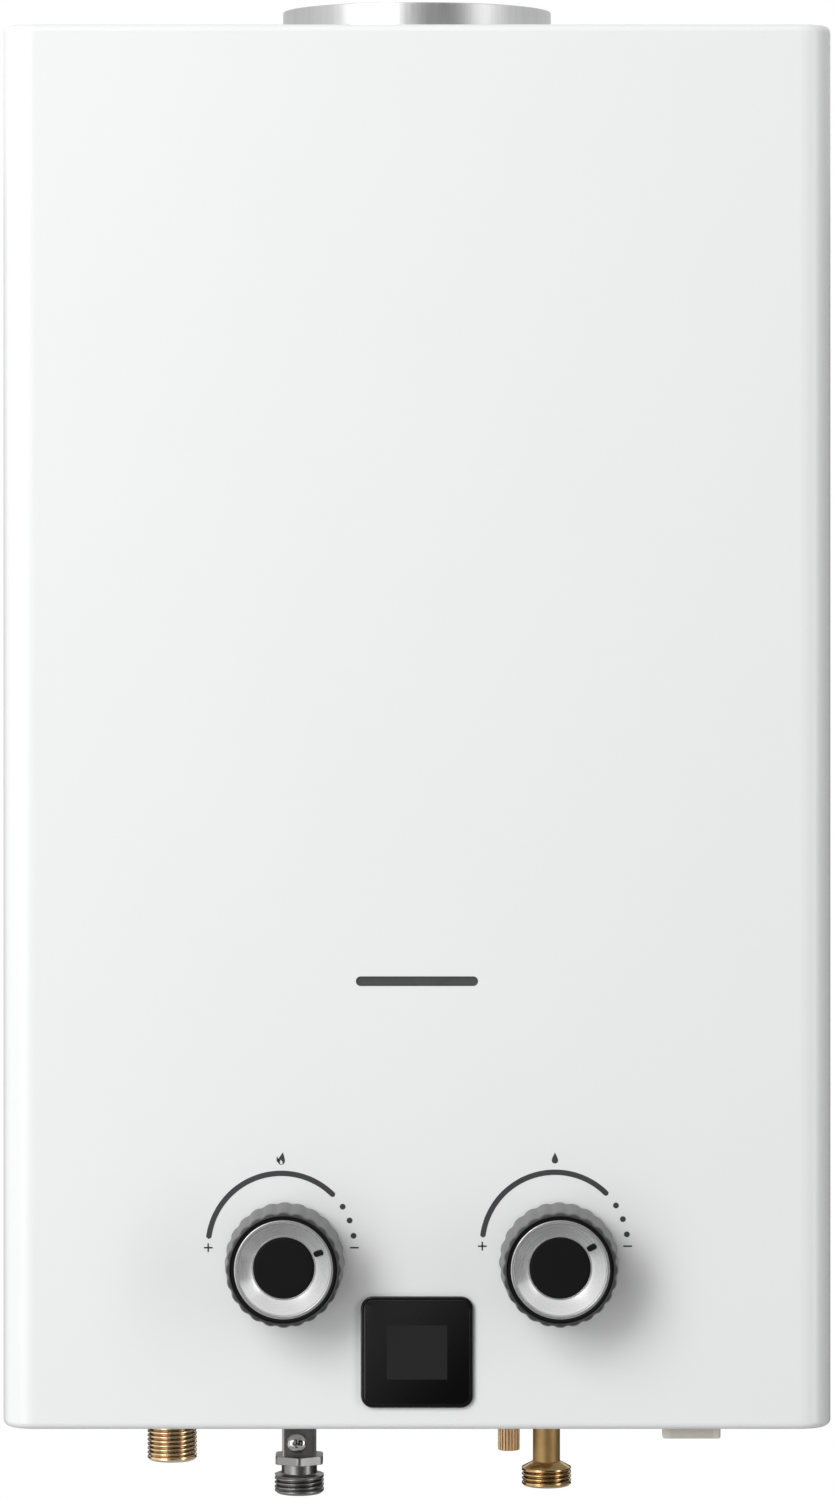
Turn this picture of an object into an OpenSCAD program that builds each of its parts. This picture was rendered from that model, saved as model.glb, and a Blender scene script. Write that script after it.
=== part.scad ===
// Tankless gas water heater, wall hung, with its burner, heat exchanger, valves and battery ignition.
// Millimetres. +Z is up, the wall is the plane y = 0 and the front faces -Y.
// The origin is the middle of the back plate, on the wall.

/* [Casing] */
// Width of the casing
body_w = 340; // [330:1:420]
// Height of the casing
body_h = 575; // [565:1:700]
// Depth of the casing, from the wall to the front face
body_d = 150; // [150:1:190]
// Outside radius of the two upright front corners
corner_r = 13; // [12:0.5:20]
// Outside radius of the bends along the top and bottom edges
edge_r = 3; // [1.5:0.5:5]
// Width of the turned-in rim at the top and bottom of the cover
rim_w = 11; // [7:0.5:11.5]
// Thickness of the casing sheet
sheet = 0.8; // [0.6:0.1:1.2]
// Gap between parts that nest inside each other
nest_gap = 0.3; // [0.2:0.05:0.4]
// Distance that the cover's rear edge stays off the wall
wall_gap = 1; // [0.5:0.5:3]
// Width of the back plate's side flanges
flange_w = 16; // [14:1:24]
// Diameter of the cover screws
screw_d = 4; // [3:0.5:5]
// Distance of the cover screws from the top and bottom edges
screw_inset = 85; // [40:1:150]

/* [Wall fixing] */
// Distance between the two hanging keyholes
hang_spacing = 200; // [120:1:260]
// Distance of the keyhole seats below the top edge
hang_drop = 50; // [40:1:70]
// Diameter of the keyhole entry, for the screw head
hang_head_d = 12; // [10:0.5:14]
// Width of the keyhole slot, for the screw shank
hang_slot_d = 6; // [5:0.5:7]
// Distance between the two lower fixing holes
lower_spacing = 280; // [280:1:300]
// Height of the lower fixing holes above the bottom edge
lower_rise = 47; // [30:1:80]
// Diameter of the lower fixing holes
lower_hole_d = 6.5; // [5:0.5:8]

/* [Front panel] */
// Height of the knob axes above the bottom edge
knob_rise = 69; // [67:0.5:74]
// Sideways place of the gas knob
gas_knob_x = -54; // [-58:0.5:-52]
// Sideways place of the water knob
water_knob_x = 58; // [56:0.5:60]
// Diameter of the holes that the spindles come through
shaft_hole_d = 24; // [18:1:34]
// Height of the viewing slot above the bottom edge
window_rise = 183.5; // [180:0.5:200]
// Width of the viewing slot
window_w = 50; // [30:1:80]
// Height of the viewing slot
window_h = 4; // [3:0.5:6]
// Thickness of the viewing pane
pane_t = 1.5; // [1:0.1:2]
// Height of the display's middle above the bottom edge
display_rise = 32; // [28:0.5:32]
// Width of the display
display_w = 46; // [40:0.5:50]
// Height of the display
display_h = 45.5; // [40:0.5:46]
// Corner radius of the display
display_r = 5; // [3:0.5:8]
// How far the display stands out of the front face
display_out = 1.8; // [1.5:0.1:4]
// Depth of the display housing behind the front face
display_in = 12; // [8:0.5:16]

/* [Knobs] */
// Diameter of a knob at its base
knob_d = 49; // [46:0.5:52]
// Diameter of a knob at its front
knob_tip_d = 47; // [44.5:0.5:48]
// Length of a knob
knob_len = 24; // [20:0.5:30]
// Gap between a knob and the front face
knob_gap = 2; // [1.5:0.5:4]
// Number of finger grooves
flutes = 24; // [16:1:32]
// Radius of each finger groove
flute_r = 3.5; // [3:0.5:6]
// Depth of each finger groove
flute_depth = 0.8; // [0.4:0.1:1.2]
// Diameter of the bright dish in the knob
dish_d = 40.2; // [38:0.2:41]
// Width of the dish's flat lip
dish_lip = 1.4; // [1:0.1:2]
// Depth of the dish
dish_depth = 5.4; // [4:0.2:7]
// Thickness of the dish
dish_t = 1.2; // [0.8:0.1:1.6]
// Diameter of the dark cap in the middle
cap_d = 24.8; // [20:0.2:28]
// Angle of the gas knob's pointer, anticlockwise from the right
gas_pointer = 24; // [0:1:180]
// Angle of the water knob's pointer, anticlockwise from the right
water_pointer = 34; // [0:1:180]
// Diameter of the valve spindles
spindle_d = 8; // [6:0.5:10]

/* [Flue] */
// Outside diameter of the flue collar
flue_d = 113; // [105:0.5:113]
// Thickness of the flue collar
flue_wall = 1; // [0.6:0.1:1.5]
// Height of the collar above the casing
flue_up = 10.5; // [8:0.5:40]
// Depth of the collar below the top of the casing
flue_down = 21; // [15:0.5:30]

/* [Connections] */
// Sideways place of the hot water outlet
hot_x = -104; // [-106:0.5:-103]
// Sideways place of the gas inlet
gas_x = -50; // [-52:0.5:-49]
// Sideways place of the drain plug
drain_x = 39; // [38:0.5:39]
// Sideways place of the cold water inlet
cold_x = 55; // [55:0.5:57]
// Distance of the connections from the wall
pipe_back = 60; // [58:0.5:61]
// Outside diameter of the half-inch pipe thread
thread_d = 20.955; // [20.5:0.005:21.4]
// How far the hot outlet reaches below the casing
hot_drop = 27.5; // [20:0.5:50]
// How far the gas inlet reaches below the casing
gas_drop = 41.6; // [40:0.2:60]
// How far the cold inlet reaches below the casing
cold_drop = 38.4; // [30:0.2:60]
// How far the drain plug reaches below the casing
drain_drop = 23.5; // [20:0.5:28]
// Length of the thread on the gas inlet
gas_thread_l = 7.8; // [6:0.2:14]
// Length of the thread on the cold inlet
cold_thread_l = 7.6; // [6:0.2:12]
// Width of the gas inlet's square stem
gas_stem_w = 14.3; // [13:0.1:15]
// Width of the gas inlet's hexagon across its flats
gas_hex_w = 20; // [19:0.5:24]
// Diameter of the cold inlet pipe
cold_pipe_d = 11.5; // [10:0.5:14]
// Diameter of the drain plug
drain_d = 9.3; // [8:0.1:10]
// Diameter of the test point screw's head
test_screw_d = 8.3; // [6:0.1:9]

/* [Burner and exchanger] */
// Width of the combustion chamber
core_w = 220; // [214:1:222]
// Depth of the combustion chamber
core_d = 112; // [112:0.5:113]
// Distance of the chamber's middle from the wall
core_back = 75; // [75:0.5:76]
// Corner radius of the combustion chamber
core_r = 14; // [13:0.5:16]
// Thickness of the copper chamber wall
core_wall = 1; // [0.6:0.1:1.5]
// Height of the hood between the fins and the collar
hood_rise = 61.5; // [45:0.5:80]
// Height of the fins
fin_h = 50; // [40:1:60]
// Thickness of a fin
fin_t = 0.5; // [0.3:0.1:0.8]
// Number of fins
fin_count = 36; // [20:1:48]
// Outside diameter of the water tube
tube_d = 14; // [12:0.5:14.5]
// Wall thickness of the copper tubes
tube_wall = 0.8; // [0.6:0.1:1.2]
// Distance between the tube's passes through the fins
tube_pitch = 21; // [19:0.5:21.5]
// Number of passes through the fins
tube_passes = 5; // [3:2:5]
// Rise of the coil around the chamber for each turn
coil_pitch = 70; // [40:1:85]
// Number of turns of the coil
coil_turns = 2; // [1:1:2]
// Number of burner blades
blade_count = 10; // [6:1:10]
// Distance between burner blades
blade_pitch = 20; // [16:0.5:20]
// Thickness of a burner blade
blade_t = 8; // [6:0.5:9]
// Height of a burner blade
blade_h = 48; // [44:1:52]

/* [Valves] */
// Distance of the valve axis from the wall
valve_back = 75; // [74:0.5:76]
// Travel of the push rod
rod_travel = 5; // [3:0.5:6]
// Diameter of the push rod
rod_d = 6; // [5:0.5:7]
// Diameter of the diaphragm housing
housing_d = 60; // [58:1:64]
// Thickness of the rubber diaphragm
diaphragm_t = 1.6; // [1:0.1:2.5]
// Travel of the solenoid plunger
plunger_travel = 3; // [2:0.5:3]
// Clearance of a part that turns or slides in its bore
run_gap = 0.05; // [0.03:0.01:0.08]

/* [Battery box] */
// Sideways place of the battery box
battery_x = 113; // [113:0.5:118]
// Diameter of a battery cell
cell_d = 34.2; // [32:0.1:35]
// Length of a battery cell with its contact
cell_len = 61.5; // [58:0.5:64]
// Thickness of the battery box walls
box_wall = 1.6; // [1.2:0.1:2]
// Width of the finger tab on the battery door
tab_w = 23.8; // [16:0.2:34]
// How far the finger tab reaches below the casing
tab_drop = 5.8; // [4:0.1:12]

/* [Hidden] */
$fn = 64;

// A length that cuts right through whatever it meets
through = 400;
// A small overlap that keeps a cut clear of a shared face
eps = 0.5;

// Heights and depths that the parts share
z_top = body_h / 2;
z_bot = -body_h / 2;
y_front = -body_d;
y_inside = y_front + sheet;
knob_z = z_bot + knob_rise;
window_z = z_bot + window_rise;
display_z = z_bot + display_rise;
screw_z = body_h / 2 - screw_inset;
screw_y = -(wall_gap + flange_w / 2);
screw_head_d = 1.9 * screw_d;
screw_head_h = 0.55 * screw_d;

// Back plate and the two decks inside the cover
plate_w = body_w - 2 * (sheet + nest_gap);
plate_h = body_h - 2 * (sheet + nest_gap);
deck_w = plate_w - 2 * (sheet + nest_gap);
deck_front = y_inside + edge_r;
deck_d = -deck_front - sheet;
deck_r = corner_r - sheet - nest_gap;
deck_lip = 12;
top_deck_z = z_top - 2 * sheet - nest_gap;
bottom_deck_z = z_bot + sheet + nest_gap;
deck_top = bottom_deck_z + sheet;

// Exchanger stack, from the collar down to the burner
core_y = -core_back;
core_front = core_y - core_d / 2;
core_rear = core_y + core_d / 2;
hood_top = z_top - flue_down;
fin_top = hood_top - hood_rise;
tube_z = fin_top - fin_h / 2;
tube_r = tube_d / 2;
tube_end = core_w / 2 + 4;
first_pass_y = core_y + tube_pitch * (tube_passes - 1) / 2;
last_pass_y = core_y - tube_pitch * (tube_passes - 1) / 2;
hood_overlap = 10;
jacket_bottom = window_z + window_h;
burner_top = window_z - 2 * window_h;
tray_floor = burner_top - blade_h;
tray_w = core_w - 2 * (core_wall + nest_gap);
tray_in_front = 10;
tray_in_rear = 11;
tray_front = core_front + tray_in_front;
tray_rear = core_rear - tray_in_rear;
tray_wall = 1;
tray_below = 4;
venturi_rise = 10;
tray_rim = burner_top - tray_below;
venturi_z = tray_floor + venturi_rise;
venturi_r = 5;
manifold_w = 12;
manifold_gap = 9;
manifold_end = 12.7;
lug_w = 4;
manifold_y = tray_front - manifold_gap - manifold_w / 2;
nozzle_r = 3;
nozzle_l = 7;
nozzle_hex_h = 3;
nozzle_hex_lip = 1.4;
electrode_z = window_z - 2;
electrode_xs = [-blade_pitch, 0, blade_pitch];
insulator_r = 3;
electrode_r = 1;
rod_front = tray_front - 17;

// Water coil around the chamber
coil_gap = 2;
coil_x = core_w / 2 + coil_gap + tube_r;
coil_y = core_d / 2 + coil_gap + tube_r;
coil_bend = 20;
coil_bottom = jacket_bottom + 50;
coil_top = coil_bottom + coil_turns * coil_pitch;
inlet_bend = 12;
inlet_x = tube_end + inlet_bend;

// Valves, gas on the left and water on the right
valve_y = -valve_back;
pipe_y = -pipe_back;
gas_arm_l = 26;
gas_arm_r = 34;
gas_seat_off = 16;
gas_barrel_d = 40;
gas_chamber_r = 13;
gas_throat_d = 16;
gas_throat_l = 8;
gas_riser_d = 26;
gas_way_d = 12;
gas_port_d = 6;
gas_outlet_d = 18;
gas_outlet_bore = 8;
gas_outlet_off = 4;
gas_flange_w = 34;
gas_flange_d = 28;
gas_flange_h = 5;
boss_d = 30;
boss_l = 43;
plug_inset = 19.5;
outlet_rise = 35;
foot_rise = 29.5;
spindle_out = 14.7;
solenoid_below = 20;
solenoid_off = 16;
solenoid_l = 30;
solenoid_d = 24;
solenoid_seat_d = 28;
solenoid_bore = 18;
housing_off = 40;
housing_in = 20;
housing_lid_l = 12;
water_arm_r = 26;
water_barrel_d = 34;
water_riser_d = 24;
water_outlet_d = 22;
water_outlet_off = 8;
drain_boss_d = 12;
drain_boss_l = 12;
gas_left = gas_knob_x - gas_arm_l;
gas_right = gas_knob_x + gas_arm_r;
gas_seat_x = gas_knob_x + gas_seat_off;
gas_out_x = gas_seat_x + gas_outlet_off;
valve_top = knob_z + outlet_rise;
valve_foot = z_bot + foot_rise;
spindle_front = y_front - spindle_out;
boss_front = valve_y - boss_l;
plug_r = spindle_d;
plug_rear = valve_y - plug_inset;
solenoid_z = knob_z - solenoid_below;
solenoid_front = pipe_y + solenoid_off;
solenoid_rear = solenoid_front + solenoid_l;
diaphragm_x = water_knob_x - housing_off;
cover_left = diaphragm_x - housing_lid_l;
water_right = water_knob_x + water_arm_r;
plate_r = 17;
plate_t = 3;
plate_x = diaphragm_x - nest_gap - plate_t;
water_out_x = water_knob_x + water_outlet_off;
switch_collar_off = 10;
switch_collar_x = gas_right + switch_collar_off;
switch_collar_r = 6.5;
lever_rise = 14;
lever_pivot_z = knob_z + lever_rise;
lever_x = switch_collar_x - 0.7;
drain_boss_z = valve_foot - drain_boss_l;

// Pipe ends below the casing
gas_end = z_bot - gas_drop;
gas_hex_top = gas_end + gas_thread_l + 8.4;
gas_hex_h = 3.6;
gas_neck_d = 15;
cold_end = z_bot - cold_drop;
hot_end = z_bot - hot_drop;
hot_top = z_bot + 25.5;
drain_end = z_bot - drain_drop;
thread_bore_d = 14;
foot_t = 2.5;
foot_lip = 6;
inlet_flange_h = 4;

// Route of the hot pipe between the exchanger and the outlet
hot_drop_x = -(tube_end + 28);
hot_turn_z = valve_top + 10;

// Knob, measured outwards from the front face
knob_base = knob_gap;
knob_tip = knob_gap + knob_len;
core_fit_r = dish_d / 2 + 1.6;
dish_top = knob_tip - 1;
cap_top = dish_top - dish_depth;
pointer_l = 4;
pointer_w = 1.9;
pointer_r = (dish_d / 2 - dish_lip + cap_d / 2) / 2;

// Battery box, the cells upright and one behind the other
case_front = y_front + rim_w + 1;
case_in_w = cell_d + 4.6;
case_in_d = 2 * cell_d + 8.4;
case_w = case_in_w + 2 * box_wall;
case_d = case_in_d + 2 * box_wall;
case_rear = case_front + case_d;
case_foot = deck_top + foot_t;
cell_foot = z_bot + 6;
case_top = cell_foot + cell_len + 6.4;
cell_ys = [case_front + case_d / 2 - cell_d / 2 - 1.2, case_front + case_d / 2 + cell_d / 2 + 1.2];
door_w = case_w - 2;
door_z = z_bot + 0.2;
door_t = deck_top - door_z - 0.2;
door_front = case_front + 1;
door_rear = case_rear - 1;
hinge_y = case_rear + 3;
hinge_z = z_bot + 1.5;
hinge_pin_d = 3;
hinge_barrel_d = 4.8;
hinge_lug = 3;

// The ignition lead leaves the igniter, passes under the burner and comes up to the electrode
lead_d = 3.5;
lead_x = electrode_xs[1];
igniter_rise = 82;
igniter_top = z_bot + igniter_rise;
igniter_y = -15;
lead_route = [
    [lead_x, igniter_y, igniter_top + 8], [lead_x, igniter_y, igniter_top + 14],
    [lead_x, igniter_y - 7, igniter_top + 23], [lead_x, igniter_y - 25, tray_floor - 18],
    [lead_x, tray_front + 21, tray_floor - 18], [lead_x, tray_front + 3, tray_floor - 14],
    [lead_x, tray_front - 4.5, tray_floor - 4], [lead_x, tray_front - 4.5, tray_floor + 20],
    [lead_x, tray_front - 11, tray_floor + 32], [lead_x, tray_front - 20, electrode_z - 11],
    [lead_x, tray_front - 22.5, electrode_z - 4.5], [lead_x, tray_front - 21, electrode_z - 0.5],
    [lead_x, rod_front - nest_gap, electrode_z]];

// Finishes
paint_white = "#f2f2f2";
zinc_grey = "#b9bcbe";
alloy = "#a9abad";
dark_alloy = "#6f6d68";
copper = "#b87346";
brass = "#c39a52";
steel = "#9a9c9e";
black_plastic = "#1b1b1c";
grey_plastic = "#7d7e80";
milky_plastic = "#c9c6bc";
ceramic_white = "#ece7dc";

// Shared shapes

module block(lo, hi) translate(lo) cube(hi - lo);
module x_pin(d, x0, x1) translate([x0, 0, 0]) rotate([0, 90, 0]) cylinder(d = d, h = x1 - x0);
module y_pin(d, y0, y1) translate([0, y0, 0]) rotate([-90, 0, 0]) cylinder(d = d, h = y1 - y0);
module z_pin(d, z0, z1) translate([0, 0, z0]) cylinder(d = d, h = z1 - z0);

// Children turned so that their X and Y axes lie along ex and ey, at the point o
module set_at(o, ex, ey) {
    ez = cross(ex, ey);
    multmatrix([[ex[0], ey[0], ez[0], o[0]], [ex[1], ey[1], ez[1], o[1]],
        [ex[2], ey[2], ez[2], o[2]], [0, 0, 0, 1]]) children();
}

function unit(v) = v / norm(v);

// A round bar from one point to another
module bar(a, b, r) {
    v = b - a;
    translate(a) rotate([0, acos(v[2] / norm(v)), atan2(v[1], v[0])]) cylinder(r = r, h = norm(v));
}

// A bent tube along points whose corners are square, with true bends
module bent_tube(p, r, bend) {
    last = len(p) - 1;
    for (i = [0 : last - 1]) {
        u = unit(p[i + 1] - p[i]);
        bar(p[i] + (i > 0 ? bend : 0) * u, p[i + 1] - (i < last - 1 ? bend : 0) * u, r);
    }
    for (i = [1 : last - 1]) {
        u = unit(p[i] - p[i - 1]);
        v = unit(p[i + 1] - p[i]);
        set_at(p[i] - bend * u + bend * v, -v, u)
            rotate_extrude(angle = 90) translate([bend, 0]) circle(r);
    }
}

// The same tube with a bore through it
module bent_pipe(p, r, bend) difference() {
    bent_tube(p, r, bend);
    bent_tube(p, r - tube_wall, bend);
}

// A bar swept along any route, its rings carried from point to point without twist
function tangent(p, i) = unit(p[min(i + 1, len(p) - 1)] - p[max(i - 1, 0)]);
function first_normal(t) = unit(cross(t, abs(t[2]) < 0.9 ? [0, 0, 1] : [1, 0, 0]));
function carried(n, t) = unit(n - (n * t) * t);
function normals(p, i = 0, n = undef) = i >= len(p) ? [] :
    let (t = tangent(p, i), m = i == 0 ? first_normal(t) : carried(n, t)) concat([m], normals(p, i + 1, m));

function ring_points(p, ns, r, sides) = [for (i = [0 : len(p) - 1]) let (t = tangent(p, i), b = cross(t, ns[i]))
    for (j = [0 : sides - 1]) let (a = 360 * j / sides) p[i] + r * (cos(a) * ns[i] + sin(a) * b)];
function quad(a, b, c, d) = [[a, b, c], [a, c, d]];

module swept_bar(p, r, sides) {
    rings = len(p);
    function at(i, j) = i * sides + j % sides;
    walls = [for (i = [0 : rings - 2], j = [0 : sides - 1])
        each quad(at(i, j), at(i + 1, j), at(i + 1, j + 1), at(i, j + 1))];
    ends = [[for (j = [0 : sides - 1]) at(0, j)], [for (j = [sides - 1 : -1 : 0]) at(rings - 1, j)]];
    polyhedron(ring_points(p, normals(p), r, sides), concat(walls, ends));
}

// A swept tube with a bore: an outer wall, an inner wall and a ring at each end
module swept_pipe(p, r, sides) {
    last = len(p) - 1;
    ns = normals(p);
    inner = len(p) * sides;
    function at(i, j) = i * sides + j % sides;
    walls = [for (i = [0 : last - 1], j = [0 : sides - 1]) each concat(
        quad(at(i, j), at(i + 1, j), at(i + 1, j + 1), at(i, j + 1)),
        quad(inner + at(i, j), inner + at(i, j + 1), inner + at(i + 1, j + 1), inner + at(i + 1, j)))];
    ends = [for (j = [0 : sides - 1]) each concat(
        quad(at(0, j), at(0, j + 1), inner + at(0, j + 1), inner + at(0, j)),
        quad(at(last, j), inner + at(last, j), inner + at(last, j + 1), at(last, j + 1)))];
    polyhedron(concat(ring_points(p, ns, r, sides), ring_points(p, ns, r - tube_wall, sides)), concat(walls, ends));
}

// A flat outline with all four corners round
module round_rect(w, h, r) {
    square([w - 2 * r, h], center = true);
    square([w, h - 2 * r], center = true);
    for (sx = [-1, 1], sy = [-1, 1]) translate([sx * (w / 2 - r), sy * (h / 2 - r)]) circle(r);
}

// An outline in the plane of the front face, extruded from y0 back to y1
module upright(y0, y1) translate([0, y1, 0]) rotate([90, 0, 0]) linear_extrude(y1 - y0) children();

// The section of the cover's sheet: a wall with round bends and turned-in rims
module left_round(w, h, r) {
    translate([r, 0]) square([w - r, h]);
    translate([0, r]) square([w, h - 2 * r]);
    for (y = [r, h - r]) translate([r, y]) circle(r);
}

module cover_section() difference() {
    left_round(rim_w, body_h, edge_r);
    translate([sheet, sheet]) left_round(rim_w, body_h - 2 * sheet, edge_r - sheet);
}

// Casing

module cover_shell() {
    translate([-(body_w / 2 - corner_r), y_front, z_bot]) rotate([90, 0, 90])
        linear_extrude(body_w - 2 * corner_r) cover_section();
    for (side = [0, 1]) mirror([side, 0, 0]) {
        translate([-body_w / 2, -wall_gap, z_bot]) rotate([90, 0, 0])
            linear_extrude(body_d - corner_r - wall_gap) cover_section();
        translate([-(body_w / 2 - corner_r), y_front + corner_r, z_bot]) rotate([0, 0, 180])
            rotate_extrude(angle = 90) translate([corner_r, 0]) mirror([1, 0]) cover_section();
    }
}

module slot_outline() {
    square([window_w - window_h, window_h], center = true);
    for (s = [-1, 1]) translate([s * (window_w - window_h) / 2, 0]) circle(d = window_h);
}

module front_cover() color(paint_white) difference() {
    cover_shell();
    for (x = [gas_knob_x, water_knob_x]) translate([x, 0, knob_z])
        y_pin(shaft_hole_d, y_front - eps, y_inside + eps);
    translate([0, 0, window_z]) upright(y_front - eps, y_inside + eps) slot_outline();
    translate([0, 0, display_z]) upright(y_front - eps, y_inside + eps)
        round_rect(display_w - 4, display_h - 4, display_r - 2);
    for (z = [-screw_z, screw_z]) translate([0, screw_y, z])
        x_pin(screw_d + 2 * nest_gap, -through, through);
}

module keyhole() {
    y_pin(hang_slot_d, -sheet - eps, eps);
    translate([0, 0, -hang_head_d]) y_pin(hang_head_d, -sheet - eps, eps);
    block([-hang_slot_d / 2, -sheet - eps, -hang_head_d], [hang_slot_d / 2, eps, 0]);
}

module back_plate() color(zinc_grey) difference() {
    union() {
        block([-plate_w / 2, -sheet, -plate_h / 2], [plate_w / 2, 0, plate_h / 2]);
        for (side = [0, 1]) mirror([side, 0, 0])
            block([-plate_w / 2, -flange_w, -plate_h / 2 + edge_r], [-plate_w / 2 + sheet, 0, plate_h / 2 - edge_r]);
    }
    for (s = [-1, 1]) {
        translate([s * hang_spacing / 2, 0, z_top - hang_drop]) keyhole();
        translate([s * lower_spacing / 2, 0, z_bot + lower_rise]) y_pin(lower_hole_d, -sheet - eps, eps);
    }
    for (z = [-screw_z, screw_z]) translate([0, screw_y, z]) x_pin(screw_d + 2 * run_gap, -through, through);
}

// A deck that closes the casing, its front corners following the cover
module deck() linear_extrude(sheet) {
    translate([-deck_w / 2, deck_r]) square([deck_w, deck_d - deck_r]);
    translate([-deck_w / 2 + deck_r, 0]) square([deck_w - 2 * deck_r, deck_d]);
    for (s = [-1, 1]) translate([s * (deck_w / 2 - deck_r), deck_r]) circle(deck_r);
}

module top_plate() color(paint_white) difference() {
    union() {
        translate([0, deck_front, top_deck_z]) deck();
        block([-deck_w / 2 + deck_lip, -2 * sheet, top_deck_z - deck_lip],
            [deck_w / 2 - deck_lip, -sheet, top_deck_z + sheet]);
    }
    translate([0, core_y, 0]) z_pin(flue_d + 2 * nest_gap, top_deck_z - eps, z_top);
}

air_slot_w = 4;
air_slot_l = 26;
air_slot_pitch = 16;

module air_slots(y) for (i = [-4 : 4])
    block([i * air_slot_pitch - air_slot_w / 2, y, bottom_deck_z - eps],
        [i * air_slot_pitch + air_slot_w / 2, y + air_slot_l, deck_top + eps]);

module bottom_plate() color(paint_white) difference() {
    union() {
        translate([0, deck_front, bottom_deck_z]) deck();
        block([-deck_w / 2 + deck_lip, -2 * sheet, bottom_deck_z],
            [deck_w / 2 - deck_lip, -sheet, deck_top + deck_lip]);
    }
    for (x = [hot_x, cold_x]) translate([x, pipe_y, 0])
        z_pin(thread_d + 1.5, bottom_deck_z - eps, deck_top + eps);
    translate([drain_x, pipe_y, 0]) z_pin(drain_d + 2, bottom_deck_z - eps, deck_top + eps);
    translate([gas_x, pipe_y, 0]) block([-gas_stem_w / 2 - 1, -gas_stem_w / 2 - 1, bottom_deck_z - eps],
        [gas_stem_w / 2 + 1, gas_stem_w / 2 + 1, deck_top + eps]);
    block([battery_x - case_w / 2, case_front, bottom_deck_z - eps],
        [battery_x + case_w / 2, hinge_y + 5, deck_top + eps]);
    air_slots(y_inside + 12);
    air_slots(pipe_y + 18);
}

module cover_screws() color(steel) for (side = [0, 1], z = [-screw_z, screw_z])
    mirror([side, 0, 0]) translate([0, screw_y, z]) {
        x_pin(screw_d, body_w / 2 - flange_w / 2, body_w / 2);
        translate([body_w / 2, 0, 0]) rotate([0, 90, 0])
            cylinder(d1 = screw_head_d, d2 = 0.7 * screw_head_d, h = screw_head_h);
    }

pane_margin = 4;
frame_margin = 9;

module pane_outline(grow) square([window_w + 2 * grow, window_h + 2 * grow], center = true);

module window_pane() color([0.25, 0.22, 0.2, 0.6]) translate([0, 0, window_z])
    upright(y_inside, y_inside + pane_t) pane_outline(pane_margin);

module window_frame() color(steel) translate([0, 0, window_z]) difference() {
    upright(y_inside, y_inside + pane_t + sheet) pane_outline(frame_margin);
    upright(y_inside - eps, y_inside + pane_t) pane_outline(pane_margin + run_gap);
    upright(y_inside, y_inside + pane_t + sheet + eps) slot_outline();
}

// Flue

ear_w = 10;
ear_half_d = flue_d / 2 - 0.5;
stop_w = 3;

module flue_collar() color(alloy) translate([0, core_y, 0]) difference() {
    union() {
        z_pin(flue_d, hood_top, z_top + flue_up);
        intersection() {
            z_pin(flue_d + 2 * ear_w, hood_top, hood_top + flue_wall);
            block([-through, -ear_half_d, hood_top], [through, ear_half_d, z_top]);
        }
    }
    z_pin(flue_d - 2 * flue_wall, hood_top + flue_wall, z_top + flue_up + eps);
    z_pin(flue_d - 2 * (flue_wall + stop_w), hood_top - eps, hood_top + 2 * flue_wall);
}

// The hood's outline in the plane of the front face, drawn in by t on all sides
hood_half_w = core_w / 2 + nest_gap + sheet;
hood_half_d = core_d / 2 + nest_gap + sheet;
hood_neck_w = flue_d / 2 + ear_w + 3;
hood_neck_d = ear_half_d + nest_gap + sheet;
hood_rise_straight = 12;
hood_shoulder = fin_top + hood_rise_straight;

module hood_outline(t) polygon([
    [-(hood_half_w - t), hood_bottom - t], [-(hood_half_w - t), hood_shoulder],
    [-(hood_neck_w - t), hood_top - t], [hood_neck_w - t, hood_top - t],
    [hood_half_w - t, hood_shoulder], [hood_half_w - t, hood_bottom - t]]);

// The same from the side, where the depth goes from the chamber's to the collar's
module hood_side(t) polygon([
    [-(hood_half_d - t), hood_bottom - t], [-(hood_half_d - t), hood_shoulder],
    [-(hood_neck_d - t), hood_top - t], [hood_neck_d - t, hood_top - t],
    [hood_half_d - t, hood_shoulder], [hood_half_d - t, hood_bottom - t]]);

hood_bottom = fin_top - hood_overlap;

module hood_form(t, z0) intersection() {
    upright(-body_d, 0) hood_outline(t);
    translate([-through / 2, core_y, 0]) rotate([90, 0, 90]) linear_extrude(through) hood_side(t);
    translate([0, core_y, z0]) linear_extrude(hood_top - z0) round_rect(2 * (hood_half_w - t),
        2 * (max(hood_half_d, hood_neck_d) - t), core_r + nest_gap + sheet - t);
}

module flue_hood() color(zinc_grey) difference() {
    hood_form(0, hood_bottom);
    hood_form(sheet, hood_bottom - 2 * eps);
    translate([0, core_y, 0]) z_pin(flue_d - 2 * (flue_wall + stop_w), hood_top - sheet - eps, hood_top + eps);
}

// Heat exchanger

// An upright prism with the chamber's outline, grown by g on all sides
module core_prism(g, z0, z1) translate([0, core_y, z0])
    linear_extrude(z1 - z0) round_rect(core_w + 2 * g, core_d + 2 * g, core_r + g);

pass_ys = [for (i = [0 : tube_passes - 1]) first_pass_y - i * tube_pitch];

module combustion_jacket() color(copper) difference() {
    core_prism(0, jacket_bottom, fin_top);
    core_prism(-core_wall, jacket_bottom - eps, fin_top + eps);
    for (y = pass_ys) translate([0, y, tube_z]) x_pin(tube_d + 2 * run_gap, -through, through);
}

fin_span = core_w - 2 * core_wall - 6;
fin_r = core_r - core_wall - nest_gap;
function fin_half_d(x) = core_d / 2 - core_r
    + sqrt(pow(fin_r, 2) - pow(max(0, abs(x) + fin_t - (core_w / 2 - core_r)), 2));

fin_xs = [for (i = [0 : fin_count - 1]) -fin_span / 2 + i * fin_span / (fin_count - 1)];

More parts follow.
